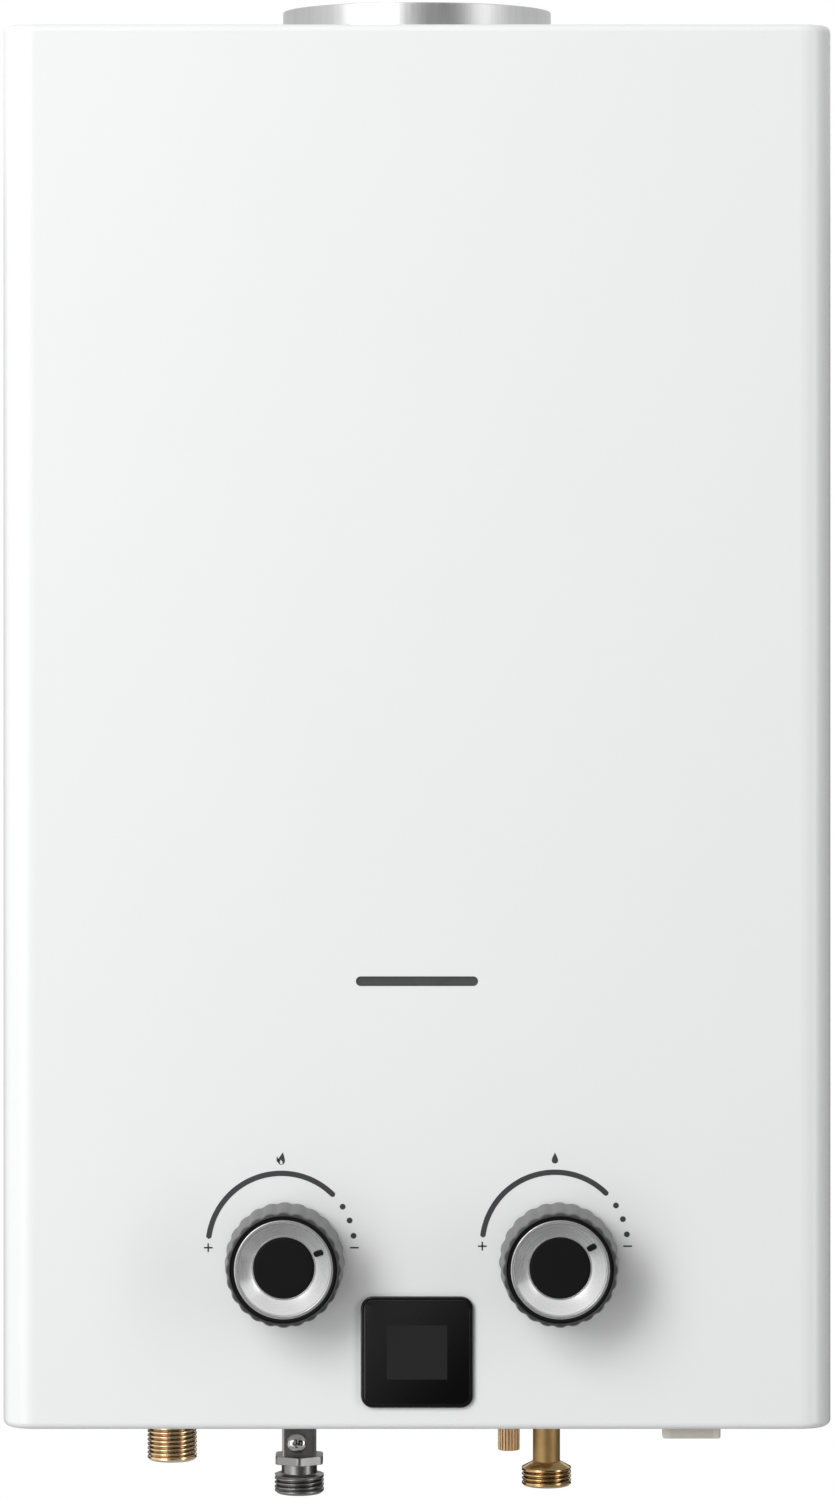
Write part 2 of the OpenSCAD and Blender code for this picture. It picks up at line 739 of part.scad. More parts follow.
module fin_pack() color(copper) for (x = fin_xs) translate([x, 0, 0]) difference() {
    block([-fin_t / 2, core_y - fin_half_d(x), fin_top - fin_h], [fin_t / 2, core_y + fin_half_d(x), fin_top - 2]);
    for (y = pass_ys) translate([0, y, tube_z]) x_pin(tube_d + 2 * run_gap, -fin_t, fin_t);
}

module serpentine(r) {
    for (y = pass_ys) translate([0, y, tube_z]) x_pin(2 * r, -tube_end, tube_end);
    for (i = [0 : tube_passes - 2]) translate([(i % 2 == 0 ? -1 : 1) * tube_end, pass_ys[i] - tube_pitch / 2, tube_z])
        rotate([0, 0, i % 2 == 0 ? 90 : -90]) rotate_extrude(angle = 180) translate([tube_pitch / 2, 0]) circle(r);
    set_at([tube_end, first_pass_y, tube_z - inlet_bend], [0, 0, 1], [1, 0, 0])
        rotate_extrude(angle = 90) translate([inlet_bend, 0]) circle(r);
}

module exchanger_tube() color(copper) difference() {
    serpentine(tube_r);
    serpentine(tube_r - tube_wall);
}

// The cold tube leaves the water valve, winds up around the chamber and enters the fins
corner_steps = 5;
coil_corner_x = coil_x - coil_bend;
coil_corner_y = coil_y - coil_bend;
riser_z = valve_top + 12;
function coil_corner(turn, c) = [for (j = [0 : corner_steps]) let (a = 90 * (c + j / corner_steps))
    [(c == 0 || c == 3 ? 1 : -1) * coil_corner_x + coil_bend * cos(a),
        core_y + (c < 2 ? 1 : -1) * coil_corner_y + coil_bend * sin(a),
        coil_bottom + coil_pitch * (turn + (c + j / corner_steps) / 4)]];
function quarter(o, ex, ey, r) = [for (j = [0 : corner_steps]) let (a = 90 * j / corner_steps)
    o + r * (cos(a) * ex + sin(a) * ey)];
cold_route = concat(
    [[water_out_x, valve_y, valve_top]],
    quarter([water_out_x + 11, valve_y, valve_top + 1], [-1, 0, 0], [0, 0, 1], 11),
    quarter([coil_x - 11, valve_y, riser_z + 11], [0, 0, -1], [1, 0, 0], 11),
    quarter([coil_x, core_y + coil_bend, coil_bottom - coil_bend], [0, -1, 0], [0, 0, 1], coil_bend),
    [for (turn = [0 : coil_turns - 1], c = [0 : 3]) each coil_corner(turn, c)],
    quarter([coil_x, first_pass_y - coil_bend, coil_top + coil_bend], [0, 0, -1], [0, 1, 0], coil_bend),
    [[inlet_x, first_pass_y, coil_top + coil_bend + 18], [inlet_x, first_pass_y, tube_z - inlet_bend]]);

module cold_tube() color(copper) swept_pipe([for (i = [0 : len(cold_route) - 1])
    if (i == 0 || norm(cold_route[i] - cold_route[i - 1]) > 0.1) cold_route[i]], tube_r, 12);

module hot_tube() color(copper) bent_pipe([[-tube_end, last_pass_y, tube_z], [hot_drop_x, last_pass_y, tube_z],
    [hot_drop_x, last_pass_y, hot_turn_z], [hot_drop_x, pipe_y, hot_turn_z], [hot_x, pipe_y, hot_turn_z],
    [hot_x, pipe_y, hot_top]], tube_r, 15);

switch_clip_z = (tube_z + hot_turn_z) / 2;
stat_d = 17;
stat_h = 9;
clip_t = 2;
clip_h = 8;

module overheat_switch() color(black_plastic) translate([hot_drop_x, last_pass_y, switch_clip_z]) {
    difference() {
        union() {
            z_pin(tube_d + 2 * clip_t, -clip_h / 2, clip_h / 2);
            y_pin(stat_d, -tube_r - stat_h, -tube_r);
        }
        z_pin(tube_d + 2 * run_gap, -stat_d, stat_d);
    }
}

rail_h = 20;
rail_t = 1;
rail_wing = 10;
rail_inset = 20;
tray_rail_inset = 30;
tray_rail_rise = 22;

// A hat-section rail that carries a part off the back plate
module rail(half_w, y, z) {
    half_h = rail_h / 2;
    wing_z = half_h + rail_wing / 2;
    difference() {
        block([-half_w, y, z - half_h], [half_w, -sheet, z + half_h]);
        block([-half_w - eps, y + rail_t, z - half_h + rail_t], [half_w + eps, eps, z + half_h - rail_t]);
    }
    for (s = [-1, 1]) block([-half_w, -sheet - rail_t, z + s * wing_z - rail_wing / 2],
        [half_w, -sheet, z + s * wing_z + rail_wing / 2]);
}

module support_rails() color(steel) {
    rail(core_w / 2 - rail_inset, core_rear, tube_z);
    rail(tray_w / 2 - tray_rail_inset, tray_rear, tray_floor + tray_rail_rise);
}

// Burner

blade_xs = [for (i = [0 : blade_count - 1]) (i - (blade_count - 1) / 2) * blade_pitch];
foot_strip = 20;

module burner_tray() color(zinc_grey) difference() {
    union() {
        block([-tray_w / 2, tray_front, tray_floor - tray_wall], [tray_w / 2, tray_rear, tray_rim]);
        for (side = [0, 1]) mirror([side, 0, 0])
            block([-tray_w / 2, core_y - core_d / 2 + core_r, tray_rim - 1],
                [-tray_w / 2 + tray_wall, core_y + core_d / 2 - core_r, jacket_bottom + hood_overlap]);
    }
    block([-tray_w / 2 + tray_wall, tray_front + tray_wall, tray_floor],
        [tray_w / 2 - tray_wall, tray_rear - tray_wall, tray_rim + eps]);
    block([-tray_w / 2 + foot_strip, tray_front + foot_strip, tray_floor - tray_wall - eps],
        [tray_w / 2 - foot_strip, tray_rear - foot_strip, tray_floor + eps]);
    for (x = blade_xs) translate([x, 0, venturi_z])
        y_pin(2 * venturi_r + 1, tray_front - eps, tray_front + tray_wall + eps);
}

port_count = 8;
port_w = 3;
port_h = 3;
blade_inset = 4;
blade_head_h = 20;
blade_sheet = 1;
blade_foot_t = 3;
blade_foot_l = 10;
venturi_short = 10;
neck_l = 35;
mouth_l = 30;

module burner_blade() {
    y0 = tray_front + blade_inset;
    y1 = tray_rear - blade_inset;
    throat_rear = y1 - venturi_short;
    difference() {
        union() {
            block([-blade_t / 2, y0, burner_top - blade_head_h], [blade_t / 2, y1, burner_top]);
            translate([0, 0, venturi_z]) y_pin(2 * venturi_r, tray_front + blade_inset / 2, throat_rear);
            block([-blade_t / 2 + blade_sheet, throat_rear - neck_l, venturi_z - blade_sheet],
                [blade_t / 2 - blade_sheet, throat_rear + blade_sheet, burner_top - blade_head_h + blade_sheet]);
            for (y = [y0, throat_rear - blade_inset]) block([-blade_foot_t / 2, y, tray_floor],
                [blade_foot_t / 2, y + blade_foot_l, venturi_z]);
        }
        translate([0, 0, venturi_z]) y_pin(2 * (venturi_r - blade_sheet), tray_front, tray_front + mouth_l);
        for (i = [1 : port_count]) translate([0, y0 + i * (y1 - y0) / (port_count + 1), burner_top])
            cube([blade_t - 2 * blade_sheet, port_w, 2 * port_h], center = true);
    }
}

module burner_blades() color(steel) for (x = blade_xs) translate([x, 0, 0]) burner_blade();

module gas_manifold() color(alloy) {
    half = manifold_w / 2;
    reach = blade_xs[blade_count - 1] + manifold_end;
    lug_x = blade_xs[blade_count - 1] - blade_pitch / 2;
    block([-reach, manifold_y - half, venturi_z - half], [reach, manifold_y + half, venturi_z + half]);
    for (side = [0, 1]) mirror([side, 0, 0])
        block([lug_x - lug_w / 2, manifold_y, venturi_z - lug_w], [lug_x + lug_w / 2, tray_front, venturi_z + lug_w]);
}

module gas_nozzles() color(brass) for (x = blade_xs) translate([x, manifold_y + manifold_w / 2, venturi_z]) {
    rotate([-90, 0, 0]) cylinder(r = nozzle_r + nozzle_hex_lip, h = nozzle_hex_h, $fn = 6);
    y_pin(2 * nozzle_r, 0, nozzle_l);
}

module electrode_bracket() color(steel) difference() {
    block([electrode_xs[0] - 9, tray_front - 1, electrode_z - 20], [electrode_xs[2] + 9, tray_front, electrode_z + 8]);
    for (x = electrode_xs) translate([x, 0, electrode_z])
        y_pin(2 * (insulator_r + run_gap), tray_front - 2, tray_front + 1);
    for (x = blade_xs) translate([x, 0, venturi_z]) y_pin(2 * venturi_r + 1, tray_front - 2, tray_front + 1);
}

module electrode_insulators() color(ceramic_white) for (x = electrode_xs) translate([x, 0, electrode_z]) difference() {
    union() {
        y_pin(2 * insulator_r, tray_front - 13, tray_front + 9);
        y_pin(2 * insulator_r + 2.4, tray_front - 4, tray_front - 1);
    }
    y_pin(2 * (electrode_r + run_gap), tray_front - 14, tray_front + 10);
}

module electrode_rods() color(steel) for (x = electrode_xs) translate([x, 0, electrode_z])
    y_pin(2 * electrode_r, rod_front, tray_front + 26);

module ignition_lead() color("#b03a2e") swept_bar(lead_route, lead_d / 2, 8);

// Gas line

module gas_tube() color(copper) bent_pipe([[gas_out_x, valve_y, valve_top], [gas_out_x, valve_y, valve_top + 11],
    [gas_out_x, manifold_y, valve_top + 11], [gas_out_x, manifold_y, venturi_z - manifold_w / 2]], 6, 10);

// The bolted flange between the valve and the inlet
module gas_flange(z0, z1) translate([gas_x, pipe_y, 0])
    block([-gas_flange_w / 2, -gas_flange_d / 2, z0], [gas_flange_w / 2, gas_flange_d / 2, z1]);

module gas_valve_body() color(alloy) difference() {
    union() {
        translate([0, valve_y, knob_z]) x_pin(gas_barrel_d, gas_left, gas_right);
        translate([gas_knob_x, 0, knob_z]) y_pin(boss_d, boss_front, valve_y);
        translate([gas_x, pipe_y, 0]) z_pin(gas_riser_d, valve_foot, knob_z);
        gas_flange(valve_foot, valve_foot + gas_flange_h);
        translate([gas_out_x, valve_y, 0]) z_pin(gas_outlet_d, knob_z, valve_top);
        translate([gas_x, 0, solenoid_z]) y_pin(solenoid_seat_d, pipe_y, solenoid_front);
    }
    translate([0, valve_y, knob_z]) {
        x_pin(2 * gas_chamber_r, gas_left - eps, gas_seat_x);
        x_pin(gas_throat_d, gas_seat_x - eps, gas_seat_x + gas_throat_l);
        x_pin(rod_d + 2 * run_gap, gas_seat_x, gas_right + eps);
    }
    translate([gas_knob_x, 0, knob_z]) {
        y_pin(2 * (plug_r + run_gap), boss_front - eps, plug_rear);
        y_pin(gas_port_d, plug_rear - eps, valve_y);
    }
    translate([gas_x, pipe_y, 0]) z_pin(gas_way_d, valve_foot - eps, knob_z - gas_flange_h);
    translate([gas_out_x, valve_y, 0]) z_pin(gas_outlet_bore, knob_z, valve_top + eps);
    translate([gas_x, 0, solenoid_z]) y_pin(solenoid_bore, pipe_y + 2, solenoid_front + eps);
}

cap_plug = 4;
gas_cap_d = 34;
gas_cap_t = 6;

module gas_valve_cap() color(alloy) translate([0, valve_y, knob_z]) {
    x_pin(gas_cap_d, gas_left - gas_cap_t, gas_left);
    x_pin(2 * (gas_chamber_r - run_gap), gas_left, gas_left + cap_plug);
}

disc_t = 3;
disc_d = 22;
disc_x = gas_seat_x - nest_gap - disc_t;

module gas_valve_disc() color(black_plastic) translate([0, valve_y, knob_z]) x_pin(disc_d, disc_x, disc_x + disc_t);

spring_r = 8;
spring_wire = 1.2;
spring_turns = 5;
spring_start = gas_left + cap_plug + spring_wire / 2 + nest_gap;
spring_end = disc_x - spring_wire / 2 - nest_gap;
spring_route = [for (i = [0 : 12 * spring_turns]) let (a = 30 * i)
    [spring_start + (spring_end - spring_start) * i / (12 * spring_turns), spring_r * cos(a), spring_r * sin(a)]];

module gas_valve_spring() color(steel) translate([0, valve_y, knob_z]) swept_bar(spring_route, spring_wire / 2, 6);

// A control spindle with its tapered valve plug and retaining collar
module spindle() {
    y_pin(2 * plug_r, boss_front + 0.5, plug_rear - nest_gap);
    y_pin(2 * plug_r + 6, boss_front - 3, boss_front - nest_gap);
    difference() {
        y_pin(spindle_d, spindle_front, boss_front + 1);
        block([-spindle_d, spindle_front - eps, spindle_d / 4], [spindle_d, spindle_front + 12, spindle_d]);
    }
}

module gas_spindle() color(brass) translate([gas_knob_x, 0, knob_z]) spindle();
module water_spindle() color(brass) translate([water_knob_x, 0, knob_z]) spindle();

module solenoid_coil() color(black_plastic) translate([gas_x, 0, solenoid_z]) difference() {
    y_pin(solenoid_d, solenoid_front, solenoid_rear);
    y_pin(spindle_d + 2 * run_gap, solenoid_front - eps, solenoid_rear - 4);
}

plunger_disc_y = solenoid_front - plunger_travel - 3.5;

module solenoid_plunger() color(steel) translate([gas_x, 0, solenoid_z]) {
    y_pin(15, plunger_disc_y, plunger_disc_y + 3);
    y_pin(spindle_d, plunger_disc_y + 3, solenoid_rear - 5 - plunger_travel);
}

module gas_inlet_fitting() color(dark_alloy) translate([gas_x, pipe_y, 0]) difference() {
    half = gas_stem_w / 2;
    union() {
        translate([-gas_x, -pipe_y, 0]) gas_flange(valve_foot - inlet_flange_h, valve_foot);
        block([-half, -half, gas_hex_top - 1], [half, half, valve_foot - inlet_flange_h / 2]);
        block([-half - foot_lip, -half - foot_lip, deck_top], [half + foot_lip, half + foot_lip, deck_top + foot_t]);
        rotate([0, 0, 30]) translate([0, 0, gas_hex_top - gas_hex_h])
            cylinder(d = gas_hex_w / cos(30), h = gas_hex_h, $fn = 6);
        z_pin(gas_neck_d, gas_end + gas_thread_l, gas_hex_top);
        z_pin(thread_d, gas_end + 1, gas_end + gas_thread_l);
        translate([0, 0, gas_end]) cylinder(d1 = thread_d - 2, d2 = thread_d, h = 1);
    }
    z_pin(thread_bore_d - 3, gas_end - eps, gas_hex_top);
    translate([test_screw_x, 0, test_screw_z]) y_pin(4 + 2 * run_gap, -half - eps, -half + 6);
}

test_screw_x = -0.9;
test_screw_z = gas_hex_top + 6;

module test_point_screw() color(steel) translate([gas_x + test_screw_x, pipe_y - gas_stem_w / 2, test_screw_z]) {
    y_pin(4, 0, 5.5);
    difference() {
        intersection() {
            translate([0, 1.2, 0]) sphere(d = test_screw_d * 1.12);
            y_pin(test_screw_d, -test_screw_d, 0);
        }
        for (a = [0, 90]) rotate([0, a, 0]) block([-1.8, -test_screw_d, -0.5], [1.8, -test_screw_d * 0.3, 0.5]);
    }
}

// Water valve and the rod that opens the gas valve

module push_rod() color(brass) translate([0, valve_y, knob_z]) {
    x_pin(rod_d, disc_x + disc_t, plate_x);
    x_pin(2 * switch_collar_r, switch_collar_x, switch_collar_x + 3);
    x_pin(2 * plate_r, plate_x, plate_x + plate_t);
}

valve_screw_d = 3.6;
valve_head_d = 6.4;
valve_head_h = 2.4;
valve_screw_ring = housing_d / 2 - 5;
valve_flange = 6;
bowl_l = 16;
lid_t = 2;
gland_d = 14;
gland_l = 6;
drain_stem_l = 16;
bowl_wall = 4;
diaphragm_end = diaphragm_x + diaphragm_t;

module at_valve_screws() for (i = [0 : 5]) translate([0, valve_y, knob_z]) rotate([60 * i + 30, 0, 0])
    translate([0, 0, valve_screw_ring]) children();

module valve_screws() color(steel) at_valve_screws() {
    x_pin(valve_screw_d, cover_left, diaphragm_end + valve_flange);
    x_pin(valve_head_d, cover_left - valve_head_h, cover_left);
}

module valve_screw_holes() at_valve_screws()
    x_pin(valve_screw_d + 2 * run_gap, cover_left - eps, diaphragm_end + valve_flange + eps);

module diaphragm_cover() color(brass) difference() {
    translate([0, valve_y, knob_z]) difference() {
        union() {
            x_pin(housing_d, cover_left, diaphragm_x);
            x_pin(gland_d, cover_left - gland_l, cover_left);
        }
        x_pin(2 * housing_in, cover_left + lid_t, diaphragm_x + eps);
        x_pin(rod_d + 2 * run_gap, cover_left - through, cover_left + 3);
    }
    valve_screw_holes();
}

module diaphragm() color("#2a2a2a") difference() {
    translate([0, valve_y, knob_z]) {
        x_pin(housing_d, diaphragm_x, diaphragm_end);
        translate([diaphragm_end, 0, 0]) rotate([0, 90, 0]) rotate_extrude()
            translate([housing_in - 2, 0]) intersection() {
                circle(1.4);
                translate([-2, 0]) square([4, 2]);
            }
    }
    valve_screw_holes();
}

module water_valve_body() color(brass) difference() {
    union() {
        translate([0, valve_y, knob_z]) {
            x_pin(housing_d, diaphragm_end, diaphragm_end + valve_flange);
            x_pin(2 * (housing_in + bowl_wall), diaphragm_end, diaphragm_end + bowl_l + bowl_wall);
            x_pin(water_barrel_d, diaphragm_end + bowl_l - valve_flange, water_right);
        }
        translate([water_knob_x, 0, knob_z]) y_pin(boss_d, boss_front, valve_y);
        translate([cold_x, pipe_y, 0]) z_pin(water_riser_d, valve_foot, knob_z);
        translate([drain_x, pipe_y, 0]) z_pin(drain_boss_d, drain_boss_z, knob_z);
        translate([water_out_x, valve_y, 0]) z_pin(water_outlet_d, knob_z, valve_top);
    }
    translate([0, valve_y, knob_z]) x_pin(2 * housing_in, diaphragm_end - eps, diaphragm_end + bowl_l);
    translate([water_knob_x, 0, knob_z]) y_pin(2 * (plug_r + run_gap), boss_front - eps, plug_rear);
    translate([drain_x, pipe_y, 0]) z_pin(rod_d + 2 * run_gap, drain_boss_z - eps, drain_boss_z + drain_stem_l + 2);
    valve_screw_holes();
}

cold_cone = 2.6;
cold_nut_d = 22;
cold_nut_h = 6;

module cold_inlet_fitting() color(brass) translate([cold_x, pipe_y, 0]) difference() {
    cone_z = cold_end + cold_thread_l;
    union() {
        z_pin(cold_pipe_d, cone_z, valve_foot);
        rotate([0, 0, 30]) translate([0, 0, valve_foot - cold_nut_h]) cylinder(d = cold_nut_d, h = cold_nut_h, $fn = 6);
        difference() {
            z_pin(thread_d + 6, deck_top, deck_top + foot_t);
            block([-through, -through, deck_top - eps], [drain_x - cold_x + drain_d / 2 + 1, through, valve_foot]);
        }
        translate([0, 0, cone_z]) cylinder(d1 = thread_d, d2 = cold_pipe_d, h = cold_cone);
        z_pin(thread_d, cold_end + 0.8, cone_z);
        translate([0, 0, cold_end]) cylinder(d1 = thread_d - 1.6, d2 = thread_d, h = 0.8);
    }
    z_pin(thread_bore_d, cold_end - eps, cone_z - 1);
    z_pin(cold_pipe_d - 3, cold_end - eps, deck_top);
}

module hot_outlet_fitting() color(brass) translate([hot_x, pipe_y, 0]) difference() {
    union() {
        z_pin(thread_d, hot_end + 1, z_bot - 1);
        z_pin(thread_d - 0.6, z_bot - 1, deck_top + foot_t);
        translate([0, 0, hot_end]) cylinder(d1 = thread_d - 2, d2 = thread_d, h = 1);
        z_pin(thread_d + 8, deck_top, deck_top + foot_t);
        z_pin(tube_d + 4, deck_top, hot_top);
    }
    z_pin(thread_bore_d, hot_end - eps, deck_top);
}

drain_ridges = 20;
ridge_groove_d = 1;
ridge_depth = 0.3;

module drain_plug() color(brass) translate([drain_x, pipe_y, 0]) {
    difference() {
        z_pin(drain_d, drain_end, drain_boss_z - nest_gap);
        for (i = [0 : drain_ridges - 1]) rotate([0, 0, 360 * i / drain_ridges])
            translate([drain_d / 2 + ridge_groove_d / 2 - ridge_depth, 0, 0])
                z_pin(ridge_groove_d, drain_end - eps, z_bot - 2);
    }
    z_pin(rod_d, drain_boss_z - 1, drain_boss_z + drain_stem_l);
}

// Microswitch, tripped by a collar on the push rod

switch_half = 4.5;
lever_pin_d = 1.9;
lever_hub_d = 3.2;
lever_hub_w = 4;

module microswitch() color(black_plastic) translate([0, valve_y, 0]) {
    block([lever_x - 6, -switch_half, lever_pivot_z + 3], [cover_left, switch_half, lever_pivot_z + 13]);
    for (s = [-1, 1]) block([lever_x - 2.5, s * 3.3 - 0.9, lever_pivot_z - 2], [lever_x + 2.5, s * 3.3 + 0.9, lever_pivot_z + 3.5]);
    translate([lever_x, 0, lever_pivot_z]) y_pin(lever_pin_d, -3.3, 3.3);
}

module switch_lever() color(steel) translate([lever_x, valve_y, lever_pivot_z]) difference() {
    union() {
        y_pin(lever_hub_d, -lever_hub_w / 2, lever_hub_w / 2);
        block([-0.4, -lever_hub_w / 2, -(lever_rise - rod_d / 2) + 2 * nest_gap], [0.4, lever_hub_w / 2, -1]);
    }
    y_pin(lever_pin_d + 2 * run_gap, -lever_hub_w, lever_hub_w);
}

// Knobs, drawn along +Z and turned to face the front

module facing_front(x) translate([x, y_front, knob_z]) rotate([90, 0, 0]) children();

module knob_grip() difference() {
    union() {
        translate([0, 0, knob_base]) cylinder(d1 = knob_d, d2 = knob_tip_d, h = knob_len - 1.4);
        translate([0, 0, knob_tip - 1.4]) cylinder(d1 = knob_tip_d, d2 = knob_tip_d - 2.2, h = 1.4);
    }
    translate([0, 0, knob_base - eps]) cylinder(r = core_fit_r + run_gap, h = knob_len + 2 * eps);
    lean = atan((knob_d - knob_tip_d) / 2 / knob_len);
    for (i = [0 : flutes - 1]) rotate([0, 0, 360 * (i + 0.5) / flutes])
        translate([knob_d / 2 + flute_r - flute_depth, 0, knob_base]) rotate([0, -lean, 0])
            translate([0, 0, -eps]) cylinder(r = flute_r, h = knob_len + 2);
}

// Half section of the dish: a flat lip, a hollow curve and the edge around the cap
dish_steps = 6;
dish_in = dish_d / 2 - dish_lip;
function dish_curve(drop) = [for (i = [0 : dish_steps]) let (s = i / dish_steps)
    [dish_in - s * (dish_in - cap_d / 2 - run_gap), dish_top - drop - dish_depth * (1 - pow(1 - s, 1.7))]];

module dish_section(drop) polygon(concat([[dish_d / 2, dish_top - drop]], dish_curve(drop),
    [[cap_d / 2 + run_gap, knob_tip + 1], [dish_d / 2, knob_tip + 1]]));

module knob_dish(pointer) difference() {
    rotate_extrude() difference() {
        dish_section(dish_t);
        dish_section(0);
    }
    rotate([0, 0, pointer]) translate([pointer_r, 0, dish_top])
        cube([pointer_l, pointer_w, 2 * dish_depth + 4], center = true);
}

module knob_core(pointer) difference() {
    union() {
        difference() {
            translate([0, 0, knob_base + 3]) cylinder(r = core_fit_r, h = knob_tip - 0.8 - knob_base - 3);
            rotate_extrude() difference() {
                dish_section(dish_t + run_gap);
                translate([dish_d / 2 + run_gap, 0]) square(through);
            }
            translate([0, 0, cap_top]) cylinder(d = cap_d + 2 * run_gap, h = knob_len);
        }
        translate([0, 0, knob_base + 0.2]) cylinder(d = 2 * spindle_d + 4, h = 4);
        rotate([0, 0, pointer]) translate([pointer_r, 0, cap_top - 1])
            cube([pointer_l - 0.4, pointer_w - 0.4, dish_depth], center = true);
    }
    difference() {
        translate([0, 0, knob_base - eps]) cylinder(d = spindle_d + 2 * run_gap, h = 14);
        block([-spindle_d, spindle_d / 4 + run_gap, knob_base + 4], [spindle_d, spindle_d, knob_tip]);
    }
}

module gas_knob_grip() color(grey_plastic) facing_front(gas_knob_x) knob_grip();
module gas_knob_core() color(black_plastic) facing_front(gas_knob_x) knob_core(gas_pointer);
module gas_knob_dish() color("silver") facing_front(gas_knob_x) knob_dish(gas_pointer);
module water_knob_grip() color(grey_plastic) facing_front(water_knob_x) knob_grip();
module water_knob_core() color(black_plastic) facing_front(water_knob_x) knob_core(water_pointer);
module water_knob_dish() color("silver") facing_front(water_knob_x) knob_dish(water_pointer);

// Display

lens_t = 1.2;
lens_edge = 1.2;
module_w = 24.7;
module_h = 22.1;

module display_housing() color(black_plastic) translate([0, 0, display_z]) difference() {
    union() {
        upright(y_front - display_out, y_front) round_rect(display_w, display_h, display_r);
        upright(y_front - eps, y_front + display_in)
            round_rect(display_w - 4 - 2 * nest_gap, display_h - 4 - 2 * nest_gap, display_r - 2);
    }
    upright(y_front - display_out - eps, y_front - display_out + lens_t)
        round_rect(display_w - 2 * lens_edge, display_h - 2 * lens_edge, display_r - lens_edge);
    upright(y_front - display_out, y_front + display_in - 2)
        round_rect(display_w - 9, display_h - 9, display_r - 3);
}

module display_lens() color([0.05, 0.05, 0.05, 0.7]) translate([0, 0, display_z])
    upright(y_front - display_out, y_front - display_out + lens_t - run_gap)
        round_rect(display_w - 2 * lens_edge - 2 * run_gap, display_h - 2 * lens_edge - 2 * run_gap,
            display_r - lens_edge - run_gap);

module display_module() color("#2e2e2f") translate([0, 0, display_z]) {
    board = y_front + display_in - 2;
    block([-module_w / 2, y_front - display_out + lens_t + nest_gap, -module_h / 2], [module_w / 2, board - 1.6, module_h / 2]);
    upright(board - 1.6, board) square([display_w - 9.2, display_h - 15], center = true);
}

// Battery box

module battery_case() color(milky_plastic) translate([battery_x, 0, 0]) difference() {
    union() {
        block([-case_w / 2, case_front, deck_top], [case_w / 2, case_rear, case_top]);
        block([-case_w / 2 - 5, case_front - 4, deck_top], [case_w / 2 + 5, case_rear, case_foot]);
        for (s = [-1, 1]) block([s * (door_w / 2 - 3) - hinge_lug / 2, case_rear - 1, z_bot - 1.2],
            [s * (door_w / 2 - 3) + hinge_lug / 2, hinge_y + 3, case_foot + 3]);
    }
    block([-case_in_w / 2, case_front + box_wall, z_bot - 2], [case_in_w / 2, case_rear - box_wall, case_top - box_wall]);
    block([-case_w / 2 + box_wall / 2, case_front + box_wall / 2, z_bot - 2],
        [case_w / 2 - box_wall / 2, case_rear - box_wall / 2, deck_top + 0.5]);
    translate([0, hinge_y, hinge_z]) x_pin(hinge_pin_d + 2 * run_gap, -through, through);
}

module battery_door() color(milky_plastic) translate([battery_x, 0, 0]) {
    barrel = door_w / 2 - 3 - hinge_lug / 2 - nest_gap;
    block([-door_w / 2 + 1, door_front, door_z], [door_w / 2 - 1, door_rear - 1, door_z + door_t]);
    block([-barrel, door_rear - 2, door_z], [barrel, hinge_y, door_z + door_t]);
    translate([0, hinge_y, hinge_z]) {
        x_pin(hinge_barrel_d, -barrel, barrel);
        x_pin(hinge_pin_d, -barrel - hinge_lug, barrel + hinge_lug);
    }
    difference() {
        upright(door_front, door_front + 8) translate([0, (door_z - (z_bot - tab_drop)) / 2 + z_bot - tab_drop])
            round_rect(tab_w, door_z - (z_bot - tab_drop) + 1.5, 1.6);
        upright(door_front + 2, door_front + 6) translate([0, z_bot - tab_drop])
            square([tab_w - 6, 2 * (tab_drop - 2)], center = true);
    }
}

contact_t = 0.5;
contact_w = 12;
door_inside = door_z + door_t;

module door_contact() color(brass) translate([battery_x, 0, door_inside]) {
    block([-contact_w / 2, cell_ys[0] - 6, 0], [contact_w / 2, cell_ys[1] + 6, contact_t]);
    for (y = cell_ys) translate([0, y, contact_t]) cylinder(d1 = 11, d2 = 7, h = cell_foot - door_inside - contact_t - nest_gap);
}

module battery_contacts() color(brass) for (y = cell_ys) translate([battery_x, y, 0]) {
    block([-contact_w / 2, -6, case_top - box_wall - contact_t], [contact_w / 2, 6, case_top - box_wall]);
    z_pin(8, cell_foot + cell_len + nest_gap, case_top - box_wall);
}

module cell() {
    z_pin(cell_d, 0, cell_len - 1.5);
    z_pin(9.5, cell_len - 1.5, cell_len);
}

module batteries() color("#3d4f63") {
    translate([battery_x, cell_ys[0], cell_foot]) cell();
    translate([battery_x, cell_ys[1], cell_foot + cell_len]) rotate([180, 0, 0]) cell();
}

// Pulse igniter on the back plate

igniter_w = 70;
igniter_x = 10;
igniter_h = 62;
igniter_d = 28;
igniter_r = 3;
ear_t = 3;
lug_half = 4;
ear_half_h = 6;
boot_d = 9;
boot_h = 8;

module igniter_box() color(black_plastic) {
    translate([igniter_x, -sheet, igniter_top - igniter_h / 2]) upright(-igniter_d, 0)
        round_rect(igniter_w, igniter_h, igniter_r);
    ear_x = igniter_w / 2 + ear_t;
    for (s = [-1, 1]) translate([igniter_x + s * ear_x, -sheet, igniter_top - igniter_h / 2])
        block([-lug_half, -ear_t, -ear_half_h], [lug_half, 0, ear_half_h]);
    translate([lead_x, igniter_y, 0]) z_pin(boot_d, igniter_top - 1, igniter_top + boot_h);
}

